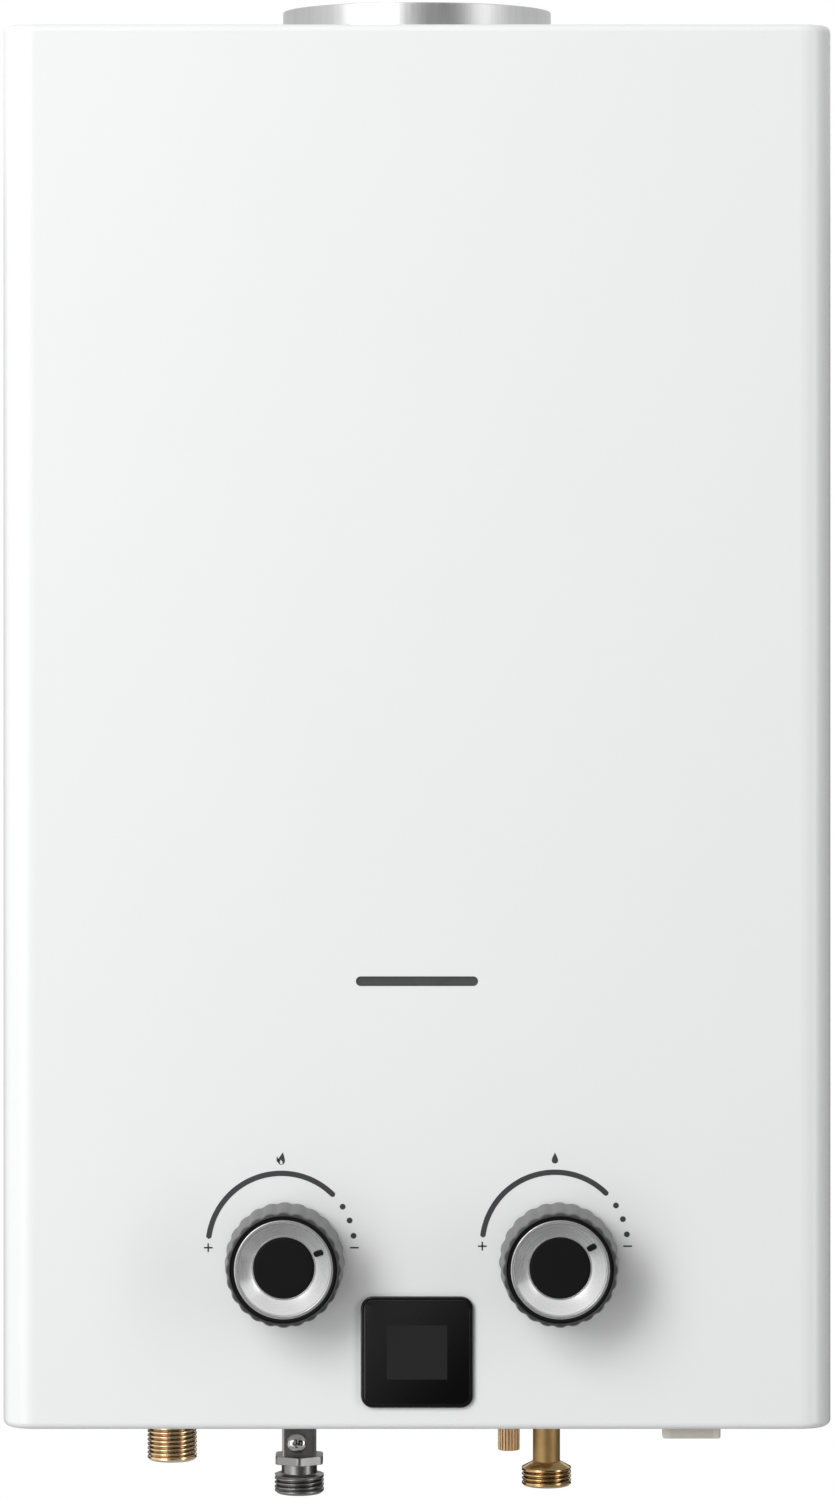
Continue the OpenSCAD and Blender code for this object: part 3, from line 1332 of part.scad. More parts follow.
back_plate();
front_cover();
top_plate();
bottom_plate();
cover_screws();
window_pane();
window_frame();
flue_collar();
flue_hood();
combustion_jacket();
fin_pack();
exchanger_tube();
cold_tube();
hot_tube();
hot_outlet_fitting();
support_rails();
burner_tray();
burner_blades();
gas_manifold();
gas_nozzles();
electrode_bracket();
electrode_insulators();
electrode_rods();
gas_tube();
gas_valve_body();
gas_valve_cap();
gas_valve_spring();
gas_valve_disc();
gas_spindle();
solenoid_coil();
solenoid_plunger();
gas_inlet_fitting();
test_point_screw();
push_rod();
diaphragm_cover();
diaphragm();
water_valve_body();
water_spindle();
valve_screws();
cold_inlet_fitting();
drain_plug();
microswitch();
switch_lever();
gas_knob_grip();
gas_knob_core();
gas_knob_dish();
water_knob_grip();
water_knob_core();
water_knob_dish();
display_housing();
display_lens();
display_module();
battery_case();
battery_door();
door_contact();
battery_contacts();
batteries();
igniter_box();
ignition_lead();
overheat_switch();
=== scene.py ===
"""A wall-hung tankless gas water heater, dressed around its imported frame.

Every piece is in metres in the frame's own axes: +X to the viewer's right, +Y into the wall, +Z up.
Sizes are written in millimetres and become metres when a mesh is made.
"""

from __future__ import annotations

import logging
import math
from dataclasses import dataclass, field
from enum import Enum
from typing import Any, Callable, Iterable, Mapping, Optional, Sequence, Union

import bmesh
import bpy
import numpy as np
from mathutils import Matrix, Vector


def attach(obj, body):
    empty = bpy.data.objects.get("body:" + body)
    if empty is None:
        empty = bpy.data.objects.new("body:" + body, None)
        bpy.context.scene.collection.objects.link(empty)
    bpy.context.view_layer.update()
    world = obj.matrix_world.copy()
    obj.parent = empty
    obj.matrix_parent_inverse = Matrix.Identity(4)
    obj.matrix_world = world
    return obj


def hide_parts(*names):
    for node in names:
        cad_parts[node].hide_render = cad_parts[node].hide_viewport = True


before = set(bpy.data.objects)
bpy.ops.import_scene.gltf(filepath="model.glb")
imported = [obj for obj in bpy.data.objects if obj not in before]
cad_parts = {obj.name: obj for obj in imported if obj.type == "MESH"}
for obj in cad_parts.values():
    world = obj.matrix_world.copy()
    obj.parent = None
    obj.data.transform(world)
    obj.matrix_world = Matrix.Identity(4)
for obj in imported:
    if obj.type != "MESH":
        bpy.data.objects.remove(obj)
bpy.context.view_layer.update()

log = logging.getLogger("heater")

MM = 0.001
PHOTO_HEIGHT = 1500
TAU = 2.0 * math.pi

# How far the front face stands off the wall, and the height of the underside
FRONT = 150.0
UNDERSIDE = -287.5

# Where a profile that comes to its axis stops, so that its cap has a size, and the least corner of a slab
PIN_R = 0.05
FINE_PIN_R = 0.02
LEAST_ROUND = 0.05

# The colour sockets of a Mix node
MIX_LOW, MIX_HIGH, MIX_RESULT = 6, 7, 2

Colour = tuple[float, float, float]
Place = tuple[float, float, float]
Pair = tuple[float, float]
Drop = tuple[float, float, float, float]


# Shader maths


class Value:
    """A number that varies over a surface: an output socket with Python's operators."""

    def __init__(self, graph: Graph, socket: bpy.types.NodeSocket) -> None:
        """Keeps the socket and the graph that its maths is added to."""
        self.graph = graph
        self.socket = socket

    def _math(self, operation: str, left: Number, right: Number) -> Value:
        """Adds one Math node.

        Args:
            operation: The Math node's operation.
            left: Its first operand.
            right: Its second operand.

        Returns:
            The node's result.
        """
        node = self.graph.node("ShaderNodeMath", {"operation": operation}, {0: left, 1: right})
        return Value(self.graph, node.outputs[0])

    def __add__(self, other: Number) -> Value:
        """The sum."""
        return self._math("ADD", self, other)

    __radd__ = __add__

    def __sub__(self, other: Number) -> Value:
        """The difference."""
        return self._math("SUBTRACT", self, other)

    def __rsub__(self, other: Number) -> Value:
        """The difference, from a plain number."""
        return self._math("SUBTRACT", other, self)

    def __mul__(self, other: Number) -> Value:
        """The product."""
        return self._math("MULTIPLY", self, other)

    __rmul__ = __mul__

    def __truediv__(self, other: Number) -> Value:
        """The quotient."""
        return self._math("DIVIDE", self, other)

    def __rtruediv__(self, other: Number) -> Value:
        """The quotient, of a plain number."""
        return self._math("DIVIDE", other, self)

    def __abs__(self) -> Value:
        """The size without its sign."""
        return self._math("ABSOLUTE", self, 0.0)

    def ranged(self, least: float, more: float) -> Value:
        """The least, and so much more where this number is 1."""
        return least + more * self

    def blend(self, other: Value, share: float = 0.6) -> Value:
        """A share of this number and the rest of the other."""
        return self * share + other * (1.0 - share)

    def step(self, low: float, high: float) -> Value:
        """A smooth rise from 0 at low to 1 at high, or a fall where high is the smaller.

        Args:
            low: Where the rise starts.
            high: Where it ends.

        Returns:
            The rise, held between 0 and 1.
        """
        node = self.graph.node("ShaderNodeMapRange", {"interpolation_type": "SMOOTHSTEP"},
                               {0: self, 1: low, 2: high, 3: 0.0, 4: 1.0})
        return Value(self.graph, node.outputs[0])


Number = Union[Value, float]
Feed = Union[Value, bpy.types.NodeSocket, float, Sequence[float]]


class Graph:
    """The node tree of one material or world."""

    def __init__(self, owner: Union[bpy.types.Material, bpy.types.World]) -> None:
        """Empties the owner's tree.

        Args:
            owner: The material or world.
        """
        owner.use_nodes = True
        self.owner = owner
        self.tree = owner.node_tree
        self.tree.nodes.clear()
        self.followed: dict[Pattern, Value] = {}

    @classmethod
    def material(cls, name: str) -> Graph:
        """The tree of a new material of that name."""
        return cls(bpy.data.materials.new(name))

    def node(self, kind: str, settings: Optional[Mapping[str, Any]] = None,
             sockets: Optional[Mapping[Union[int, str], Feed]] = None) -> bpy.types.Node:
        """Adds one node.

        Args:
            kind: The node's type.
            settings: Its properties, set first.
            sockets: What goes into its inputs, as values or links.

        Returns:
            The node.
        """
        made = self.tree.nodes.new(kind)
        for key, value in (settings or {}).items():
            setattr(made, key, value)
        for key, feed in (sockets or {}).items():
            source = feed.socket if isinstance(feed, Value) else feed
            if isinstance(source, bpy.types.NodeSocket):
                self.tree.links.new(source, made.inputs[key])
            else:
                made.inputs[key].default_value = source
        return made

    def place(self) -> bpy.types.NodeSocket:
        """The point on the piece, in metres."""
        return self.node("ShaderNodeTexCoord").outputs["Object"]

    def axes(self) -> tuple[Value, Value, Value]:
        """The point's three coordinates, in metres."""
        split = self.node("ShaderNodeSeparateXYZ", None, {0: self.place()})
        return tuple(Value(self, socket) for socket in split.outputs)

    def stretched(self, scale: Sequence[float]) -> bpy.types.NodeSocket:
        """The point with each axis scaled, so that a pattern runs along the smallest."""
        return self.node("ShaderNodeMapping", None, {"Vector": self.place(), "Scale": scale}).outputs[0]

    def noise(self, scale: float, detail: float = 2.0, rough: float = 0.5,
              along: Optional[Sequence[float]] = None) -> Value:
        """Smooth noise around 0.5.

        Args:
            scale: Waves in a metre.
            detail: How many finer layers it has.
            rough: How strong those are.
            along: A scale for each axis, for streaks.

        Returns:
            The noise.
        """
        vector = self.place() if along is None else self.stretched(along)
        node = self.node("ShaderNodeTexNoise", {"noise_dimensions": "3D"},
                         {"Vector": vector, "Scale": scale, "Detail": detail, "Roughness": rough})
        return Value(self, node.outputs["Fac"])

    def follow(self, pattern: Pattern) -> Value:
        """A pattern's number, worked out once for each graph.

        Args:
            pattern: The pattern.

        Returns:
            Its number.
        """
        if pattern not in self.followed:
            self.followed[pattern] = pattern.on(self)
        return self.followed[pattern]

    def carried(self, attribute: str) -> Value:
        """A number that the mesh carries at each point."""
        return Value(self, self.node("ShaderNodeAttribute", {"attribute_name": attribute}).outputs["Fac"])

    def mix(self, amount: Number, low: Union[Colour, bpy.types.NodeSocket],
            high: Union[Colour, bpy.types.NodeSocket]) -> bpy.types.NodeSocket:
        """A colour between two.

        Args:
            amount: 0 for the first colour, 1 for the second.
            low: The first colour.
            high: The second colour.

        Returns:
            The mixed colour.
        """
        ends = {MIX_LOW: low, MIX_HIGH: high}
        feeds = {key: (*end, 1.0) if isinstance(end, tuple) else end for key, end in ends.items()}
        node = self.node("ShaderNodeMix", {"data_type": "RGBA", "clamp_factor": True}, {0: amount, **feeds})
        return node.outputs[MIX_RESULT]

    def tones(self, amount: Number, colour: Colour, low: float, high: float) -> bpy.types.NodeSocket:
        """A tone between two shades of one colour, each given as a factor."""
        return self.mix(amount, tinted(colour, low), tinted(colour, high))

    def bump(self, height: Value, depth: float) -> bpy.types.NodeSocket:
        """A normal from a height of 0 to 1, where 1 stands for the depth in metres."""
        return self.node("ShaderNodeBump", None, {"Height": height, "Distance": depth, "Strength": 1.0}).outputs[0]

    def shade(self, sockets: Mapping[str, Feed]) -> bpy.types.Material:
        """Ends the material in a Principled shader.

        Args:
            sockets: The shader's inputs by name.

        Returns:
            The material.
        """
        shader = self.node("ShaderNodeBsdfPrincipled", None, sockets)
        self.node("ShaderNodeOutputMaterial", None, {0: shader.outputs[0]})
        return self.owner


# Finishes


def tinted(colour: Colour, factor: float) -> Colour:
    """The colour made lighter or darker by a factor."""
    return tuple(min(1.0, channel * factor) for channel in colour)


@dataclass(frozen=True)
class Noise:
    """Smooth noise around 0.5, with a scale for each axis where it runs in streaks."""

    scale: float
    detail: float = 2.0
    rough: float = 0.5
    run: Optional[Place] = None

    def on(self, g: Graph) -> Value:
        """The noise on a graph."""
        return g.noise(self.scale, self.detail, self.rough, self.run)


@dataclass(frozen=True)
class Cells:
    """Crystal-like cells, each with a number of its own."""

    scale: float

    def on(self, g: Graph) -> Value:
        """The cells on a graph."""
        node = g.node("ShaderNodeTexVoronoi", {"feature": "F1"}, {"Vector": g.place(), "Scale": self.scale})
        return Value(g, g.node("ShaderNodeSeparateColor", None, {0: node.outputs["Color"]}).outputs[0])


@dataclass(frozen=True)
class Rings:
    """Turning marks: noise along the distance from the axis, which the mesh carries."""

    scale: float
    detail: float = 3.0
    rough: float = 0.7

    def on(self, g: Graph) -> Value:
        """The marks on a graph."""
        feeds = {"W": g.carried("reach"), "Scale": self.scale, "Detail": self.detail, "Roughness": self.rough}
        return Value(g, g.node("ShaderNodeTexNoise", {"noise_dimensions": "1D"}, feeds).outputs["Fac"])


@dataclass(frozen=True)
class Blend:
    """Three fifths of one pattern and two fifths of another."""

    first: Pattern
    second: Pattern

    def on(self, g: Graph) -> Value:
        """The blend on a graph."""
        return g.follow(self.first).blend(g.follow(self.second))


Pattern = Union[Noise, Cells, Rings, Blend]


@dataclass(frozen=True)
class Skin:
    """A finish whose tone, gloss and texture each follow a pattern."""

    name: str
    colour: Colour
    tones: Pair
    tone: Pattern
    rough: Pair
    gloss: Pattern
    texture: Optional[Pattern] = None
    depth: float = 0.0
    metal: float = 0.0
    shine: float = 0.5
    lacquer: float = 0.0
    lacquer_rough: float = 0.03

    def make(self) -> bpy.types.Material:
        """Two shades of the colour mixed by the tone's pattern, with a gloss and a bump from their own.

        Returns:
            The material.
        """
        g = Graph.material(self.name)
        feeds = {"Base Color": g.tones(g.follow(self.tone), self.colour, *self.tones),
                 "Roughness": g.follow(self.gloss).ranged(*self.rough), "Metallic": self.metal,
                 "Specular IOR Level": self.shine, "Coat Weight": self.lacquer, "Coat Roughness": self.lacquer_rough}
        if self.texture is not None:
            feeds["Normal"] = g.bump(g.follow(self.texture), self.depth)
        return g.shade(feeds)


def powder_coat() -> Skin:
    """White stoved paint: the tone drifts slowly under a fine orange peel about a millimetre across."""
    peel = Noise(900.0, 1.0, 0.4)
    return Skin("white_paint", (0.865, 0.868, 0.872), tones=(0.992, 1.006), tone=Noise(14.0), rough=(0.36, 0.05),
                gloss=peel, texture=peel, depth=6e-6, shine=0.35, lacquer=0.3, lacquer_rough=0.14)


def zinc_sheet() -> Skin:
    """Galvanised sheet: each cell of its spangle has its own tone and gloss, under a fine rolled grain."""
    spangle, grain = Cells(190.0), Noise(1600.0, 2.0, 0.6, (1.0, 1.0, 0.08))
    return Skin("zinc_sheet", (0.67, 0.68, 0.69), tones=(0.9, 1.08), tone=Blend(spangle, grain), rough=(0.46, 0.1),
                gloss=spangle, texture=grain, depth=4e-6, metal=0.9)


def plated(name: str, colour: Colour, gloss: float) -> Skin:
    """Bright plated steel for screws, rails and springs: a drawn grain with dull patches."""
    patch = Noise(120.0, 3.0, 0.6)
    return Skin(name, colour, tones=(0.8, 1.12), tone=patch, rough=(gloss, 0.9 * gloss), gloss=patch,
                texture=Noise(2200.0, 2.0, 0.6), depth=3e-6, metal=1.0)


def brushed_metal() -> Skin:
    """The flue collar's sheet: streaks stretched along Z, fifty times in a fine layer and twenty in a broad one.

    Returns:
        The finish.
    """
    fine = Noise(2600.0, 2.0, 0.7, (1.0, 1.0, 0.02))
    streak = Blend(fine, Noise(260.0, 3.0, 0.6, (1.0, 1.0, 0.05)))
    return Skin("flue_metal", (0.54, 0.54, 0.545), tones=(0.74, 1.2), tone=streak, rough=(0.3, 0.2), gloss=streak,
                texture=fine, depth=8e-6, metal=1.0)


def satin_trim() -> Skin:
    """Silver trim with a turned satin finish, its marks following the distance from the knob's axis."""
    marks = Rings(9000.0)
    return Skin("bright_trim", (0.70, 0.70, 0.705), tones=(0.86, 1.12), tone=Blend(marks, Noise(220.0)),
                rough=(0.2, 0.14), gloss=marks, texture=marks, depth=5e-6, metal=0.75)


def smoked_pane() -> Skin:
    """Heat-proof smoked glass behind the viewing slot, with a faint cloud in its tone and gloss."""
    cloud = Noise(160.0, 3.0, 0.6)
    return Skin("pane", (0.085, 0.085, 0.086), tones=(0.85, 1.15), tone=cloud, rough=(0.14, 0.12), gloss=cloud)


def moulding(name: str, colour: Colour, rough: float, texture: float, depth: float, spread: float = 0.12,
             shine: float = 0.5) -> Skin:
    """Moulded plastic with a fine spark-eroded texture and a slow drift in its tone."""
    spark = Noise(texture, 2.0, 0.6)
    return Skin(name, colour, tones=(1.0 - spread, 1.0 + spread), tone=Noise(90.0), rough=(rough - 0.06, 0.12),
                gloss=spark, texture=spark, depth=depth, shine=shine)


def backdrop(name: str, greys: Pair, mottle: float, rough: Pair) -> Skin:
    """Grey paper or cloth for the studio, its grey drifting between two tones."""
    return Skin(name, (1.0, 1.0, 1.0), tones=greys, tone=Noise(mottle), rough=rough, gloss=Noise(mottle))


@dataclass(frozen=True)
class Brass:
    """Turned or cast brass, with painted shade in its grooves, as the mesh marks them, and satin on a thin pipe."""

    name: str = "brass"
    colour: Colour = (0.62, 0.43, 0.20)
    # painted shade: the colour that the grooves of threads and ridges are darkened towards
    groove: Colour = (0.20, 0.10, 0.04)
    tarnish: Colour = (0.46, 0.30, 0.13)
    gloss: float = 0.1
    pipe: float = 6.2
    pipe_blur: float = 0.3
    patch: float = 140.0
    patch_edge: Pair = (0.42, 0.68)
    marks: float = 3200.0
    marks_run: Place = (0.06, 0.06, 1.0)
    marks_depth: float = 5e-6
    tarnish_share: float = 0.7
    satin_share: float = 0.9
    groove_shade_share: float = 0.75
    dulling: Place = (0.16, 0.1, 0.34)

    def make(self) -> bpy.types.Material:
        """Tarnish is slow noise, turning marks are noise stretched around the axis, and satin is a small reach.

        Returns:
            The material.
        """
        g = Graph.material(self.name)
        patch = g.noise(self.patch, 4.0, 0.62)
        marks = g.noise(self.marks, 2.0, 0.6, self.marks_run)
        clean = g.mix(patch.step(*self.patch_edge) * self.tarnish_share, self.colour, self.tarnish)
        satin = g.carried("reach").step((self.pipe + self.pipe_blur) * MM, (self.pipe - self.pipe_blur) * MM)
        worn = g.mix(satin * self.satin_share, clean, self.tarnish)
        by_patch, by_marks, by_satin = self.dulling
        # painted shade in the grooves, as deep as the mesh says each point lies in one
        return g.shade({"Base Color": g.mix(g.carried("groove") * self.groove_shade_share, worn, self.groove),
                        "Roughness": self.gloss + by_patch * patch + by_marks * marks + by_satin * satin,
                        "Metallic": 1.0, "Normal": g.bump(marks, self.marks_depth)})


@dataclass(frozen=True)
class Copper:
    """Drawn copper tube and sheet with a heat tint."""

    name: str = "copper"
    colour: Colour = (0.72, 0.34, 0.18)
    tint: Colour = (0.38, 0.17, 0.10)
    patch: float = 60.0
    patch_edge: Pair = (0.36, 0.72)
    grain: float = 1800.0
    grain_depth: float = 3e-6
    rough: Pair = (0.22, 0.28)

    def make(self) -> bpy.types.Material:
        """The tint comes and goes in soft patches over a drawn grain.

        Returns:
            The material.
        """
        g = Graph.material(self.name)
        patch = g.noise(self.patch, 4.0, 0.6)
        grain = g.noise(self.grain, 2.0, 0.6)
        return g.shade({"Base Color": g.mix(patch.step(*self.patch_edge), self.colour, self.tint),
                        "Roughness": patch.ranged(*self.rough), "Metallic": 1.0,
                        "Normal": g.bump(grain, self.grain_depth)})


@dataclass(frozen=True)
class Casting:
    """Die-cast or plated alloy with a fine sandy skin, and painted shade in its grooves."""

    name: str
    colour: Colour
    rough: float = 0.42
    grain: float = 2400.0
    depth: float = 1.2e-5
    tones: Pair = (0.72, 1.25)
    patch: float = 180.0
    rough_spread: float = 0.2
    groove_shade_share: float = 0.8
    # painted shade: how dark the grooves are painted, as a factor of the colour
    groove_shade_tone: float = 0.3
    metal: float = 0.92

    def make(self) -> bpy.types.Material:
        """Sandy bump, with tone and gloss that follow the same noise and a slower one.

        Returns:
            The material.
        """
        g = Graph.material(self.name)
        sand = g.noise(self.grain, 3.0, 0.65)
        patch = g.noise(self.patch, 3.0, 0.6)
        tone = g.tones(patch.blend(sand), self.colour, *self.tones)
        # painted shade: the grooves are darkened towards this colour
        groove_shade = tinted(self.colour, self.groove_shade_tone)
        return g.shade({"Base Color": g.mix(g.carried("groove") * self.groove_shade_share, tone, groove_shade),
                        "Roughness": self.rough + self.rough_spread * (patch - 0.5), "Metallic": self.metal,
                        "Normal": g.bump(sand, self.depth)})


@dataclass(frozen=True)
class MilkyPlastic:
    """Cloudy plastic, paler in the finger tab's solid ends than in front of its hollow."""

    name: str = "milky_plastic"
    solid: Colour = (0.86, 0.83, 0.73)
    thin: Colour = (0.74, 0.71, 0.62)
    thin_tones: Pair = (0.93, 1.07)
    middle: float = 113.0
    hollow_half: float = 8.9
    blur: float = 0.6
    flow: float = 140.0
    cloud: Pair = (0.75, 0.25)
    spark: float = 2400.0
    spark_depth: float = 5e-6
    rough: Pair = (0.34, 0.1)

    def make(self) -> bpy.types.Material:
        """The tone steps where the distance from the tab's middle passes the hollow's half width.

        Returns:
            The material.
        """
        g = Graph.material(self.name)
        across = abs(g.axes()[0] - self.middle * MM)
        ends = across.step((self.hollow_half - self.blur) * MM, (self.hollow_half + self.blur) * MM)
        flow = g.noise(self.flow, 2.0, 0.5)
        spark = g.noise(self.spark, 2.0, 0.6)
        thin = g.tones(flow, self.thin, *self.thin_tones)
        return g.shade({"Base Color": g.mix(ends * flow.ranged(*self.cloud), thin, self.solid),
                        "Roughness": spark.ranged(*self.rough), "Normal": g.bump(spark, self.spark_depth)})


@dataclass(frozen=True)
class GripPlastic:
    """The knob grip: a mid grey, its front face darkened with painted shade."""

    name: str = "grip_plastic"
    side: Colour = (0.165, 0.165, 0.168)
    side_tones: Pair = (0.9, 1.1)
    # painted shade: the darker colour given to the front face
    face: Colour = (0.042, 0.042, 0.0425)
    painted_shade_at: float = 174.9
    blur: float = 0.5
    spark: float = 3400.0
    spark_depth: float = 6e-6
    flow: float = 160.0
    rough: Pair = (0.38, 0.14)
    shine: float = 0.3

    def make(self) -> bpy.types.Material:
        """The tone steps from the side to the painted shade of the face where the grip's front bevel starts.

        Returns:
            The material.
        """
        g = Graph.material(self.name)
        spark = g.noise(self.spark, 2.0, 0.6)
        depth = g.axes()[1] * -1.0
        # painted shade on the front face, from where the front bevel starts
        front = depth.step(self.painted_shade_at * MM, (self.painted_shade_at + self.blur) * MM)
        flow = g.noise(self.flow, 2.0, 0.5)
        side = g.tones(flow, self.side, *self.side_tones)
        return g.shade({"Base Color": g.mix(front, side, self.face), "Roughness": spark.ranged(*self.rough),
                        "Specular IOR Level": self.shine, "Normal": g.bump(spark, self.spark_depth)})


@dataclass(frozen=True)
class DarkGlass:
    """The display's lens: near-black glass with a paler screen behind it."""

    name: str = "black_gloss"
    edge: Colour = (0.0035, 0.0035, 0.004)
    # painted reflection: the glass's paler colour towards the upper left, and the span over which it fades in
    painted_reflection: Colour = (0.024, 0.024, 0.025)
    painted_reflection_span: Pair = (-38.0, 46.0)
    screen: Colour = (0.025, 0.025, 0.026)
    middle: float = -255.5
    half_w: float = 12.35
    half_h: float = 11.05
    blur: float = 0.15
    smear: float = 70.0
    rough: Pair = (0.06, 0.06)
    lacquer: float = 0.3
    lacquer_rough: float = 0.04

    def inside(self, distance: Value, half: float) -> Value:
        """1 where a distance is inside a half size, with a soft edge."""
        return distance.step((half + self.blur) * MM, (half - self.blur) * MM)

    def make(self) -> bpy.types.Material:
        """The screen is where both distances from the middle are inside its half sizes, under a painted reflection
        that pales the glass towards the upper left.

        Returns:
            The material.
        """
        g = Graph.material(self.name)
        across, _, up = g.axes()
        start, stop = self.painted_reflection_span
        # painted reflection: the glass pales from the lower right towards the upper left
        painted_reflection = (up - across).step((self.middle + start) * MM, (self.middle + stop) * MM)
        wide = self.inside(abs(across), self.half_w)
        tall = self.inside(abs(up - self.middle * MM), self.half_h)
        smear = g.noise(self.smear, 3.0, 0.6)
        glass = g.mix(painted_reflection, self.edge, self.painted_reflection)
        return g.shade({"Base Color": g.mix(wide * tall, glass, self.screen), "Roughness": smear.ranged(*self.rough),
                        "Coat Weight": self.lacquer, "Coat Roughness": self.lacquer_rough})


@dataclass(frozen=True)
class CellWrap:
    """The printed sleeve of a battery cell, with bare metal ends."""

    name: str = "cell_wrap"
    sleeve: Colour = (0.035, 0.065, 0.11)
    band: Colour = (0.42, 0.30, 0.10)
    band_edge: Pair = (0.70, 0.705)
    metal: Colour = (0.6, 0.6, 0.6)
    metal_edge: Pair = (0.478, 0.485)
    metal_share: float = 0.9
    foot: float = -281.5
    length: float = 60.0
    scuff: float = 400.0
    rough: Pair = (0.25, 0.2)

    def make(self) -> bpy.types.Material:
        """Height along the cell picks the sleeve, its gold band or the metal end.

        Returns:
            The material.
        """
        g = Graph.material(self.name)
        height = (g.axes()[2] - self.foot * MM) / (self.length * MM)
        band = height.step(*self.band_edge)
        ends = abs(height - 0.5).step(*self.metal_edge)
        scuff = g.noise(self.scuff, 3.0, 0.6)
        body = g.mix(band, self.sleeve, self.band)
        return g.shade({"Base Color": g.mix(ends, body, self.metal), "Metallic": ends * self.metal_share,
                        "Roughness": scuff.ranged(*self.rough)})


class Finishes:
    """All the finishes, made once and found by the slot that they dress."""

    def __init__(self) -> None:
        """Makes every material."""
        mouldings = (moulding("black_plastic", (0.006, 0.006, 0.0065), 0.46, 3000.0, 5e-6, 0.12, 0.12),
                     moulding("ceramic", (0.78, 0.75, 0.68), 0.25, 1200.0, 3e-6, 0.05),
                     moulding("rubber", (0.022, 0.022, 0.022), 0.6, 2000.0, 1e-5),
                     moulding("silicone_red", (0.42, 0.055, 0.035), 0.5, 1500.0, 4e-6),
                     moulding("printed_ink", (0.052, 0.052, 0.054), 0.5, 2600.0, 3e-6, 0.18, 0.3),
                     moulding("black_surround", (0.0065, 0.0065, 0.007), 0.16, 1800.0, 1e-6))
        metals = (zinc_sheet(), brushed_metal(), Brass(), Copper(), plated("steel", (0.56, 0.56, 0.57), 0.22),
                  plated("chrome", (0.55, 0.545, 0.535), 0.07), Casting("cast_alloy", (0.50, 0.50, 0.51)),
                  Casting("dark_alloy", (0.27, 0.267, 0.258), 0.34, 2600.0, 5e-6),
                  Brass("golden_brass", (0.95, 0.76, 0.48), (0.26, 0.13, 0.06), (0.80, 0.57, 0.32), 0.08))
        made = (powder_coat(), satin_trim(), smoked_pane(), GripPlastic(), DarkGlass(), CellWrap(), MilkyPlastic(),
                *mouldings, *metals)
        self.by_slot = {finish.name: finish.make() for finish in made}

    def __getitem__(self, slot: str) -> bpy.types.Material:
        """The material for a slot."""
        return self.by_slot[slot]


# Surfaces


class Ends(Enum):
    """How the first and last ring of a loft are closed."""

    CAPPED = "capped"
    LOOPED = "looped"


class Axis(Enum):
    """Which way a turned piece's height runs."""

    UP = ((1, 0, 0), (0, 1, 0), (0, 0, 1))
    FRONT = ((1, 0, 0), (0, 0, 1), (0, -1, 0))
    RIGHT = ((0, 1, 0), (0, 0, 1), (1, 0, 0))
    LEFT = ((0, 0, 1), (0, 1, 0), (-1, 0, 0))


@dataclass
class Surface:
    """Points and faces, in millimetres, with named numbers at each point for the finish."""

    points: np.ndarray
    quads: np.ndarray
    caps: list[np.ndarray] = field(default_factory=list)
    marks: dict[str, np.ndarray] = field(default_factory=dict)

    def __add__(self, other: Surface) -> Surface:
        """Both surfaces as one, with the second one's faces counted on from the first's points.

        Args:
            other: The surface to add.

        Returns:
            The joined surface.
        """
        start = len(self.points)
        names = set(self.marks) | set(other.marks)
        marks = {name: np.concatenate((self.marks.get(name, np.zeros(start)),
                                       other.marks.get(name, np.zeros(len(other.points))))) for name in names}
        return Surface(np.concatenate((self.points, other.points)),
                       np.concatenate((self.quads, other.quads + start)),
                       self.caps + [cap + start for cap in other.caps], marks)

    def turned(self, degrees: float, about: Sequence[float], axis: Axis) -> Surface:
        """The surface turned about an axis through a point.

        Args:
            degrees: How far, anticlockwise as seen from where the axis points.
            about: The point.
            axis: The axis.

        Returns:
            The turned surface.
        """
        basis = np.array(axis.value, float)
        angle = math.radians(degrees)
        spin = np.array([[math.cos(angle), -math.sin(angle), 0], [math.sin(angle), math.cos(angle), 0], [0, 0, 1]])
        local = (self.points - about) @ basis.T
        return Surface(local @ spin.T @ basis + about, self.quads, self.caps, self.marks)


def joined(surfaces: Iterable[Surface]) -> Surface:
    """All the surfaces as one.

    Args:
        surfaces: The surfaces.

    Returns:
        The surface.
    """
    pieces = list(surfaces)
    whole = pieces[0]
    for piece in pieces[1:]:
        whole = whole + piece
    return whole


def loft(rings: np.ndarray, ends: Ends, marks: Optional[dict[str, np.ndarray]] = None) -> Surface:
    """A skin over rings: face (i, j) joins points j and j + 1 of ring i to those of ring i + 1.

    Args:
        rings: The rings, as an array of rows, points and coordinates.
        ends: Whether the end rings are capped or the last row joins the first.
        marks: A number for each point, by name.

    Returns:
        The skin.
    """
    rows, count = rings.shape[:2]
    index = np.arange(rows * count).reshape(rows, count)
    if ends is Ends.LOOPED:
        low, high = index, np.roll(index, -1, 0)
    else:
        low, high = index[:-1], index[1:]
    quads = np.stack((low, np.roll(low, -1, 1), np.roll(high, -1, 1), high), -1).reshape(-1, 4)
    caps = [index[0][::-1], index[-1]] if ends is Ends.CAPPED else []
    return Surface(rings.reshape(-1, 3), quads, caps, {k: v.reshape(-1) for k, v in (marks or {}).items()})


def stood(across: np.ndarray, along: np.ndarray, height: np.ndarray, axis: Axis,
          at: Sequence[float]) -> np.ndarray:
    """Points at + across e1 + along e2 + height e3, with e1, e2 and e3 the axis's own directions.

    Args:
        across: First coordinate of every point.
        along: Second coordinate.
        height: Coordinate along the axis.
        axis: The axis.
        at: The origin on the axis.

    Returns:
        The points.
    """
    e1, e2, e3 = (np.array(direction, float) for direction in axis.value)
    return np.array(at, float) + across[..., None] * e1 + along[..., None] * e2 + height[..., None] * e3


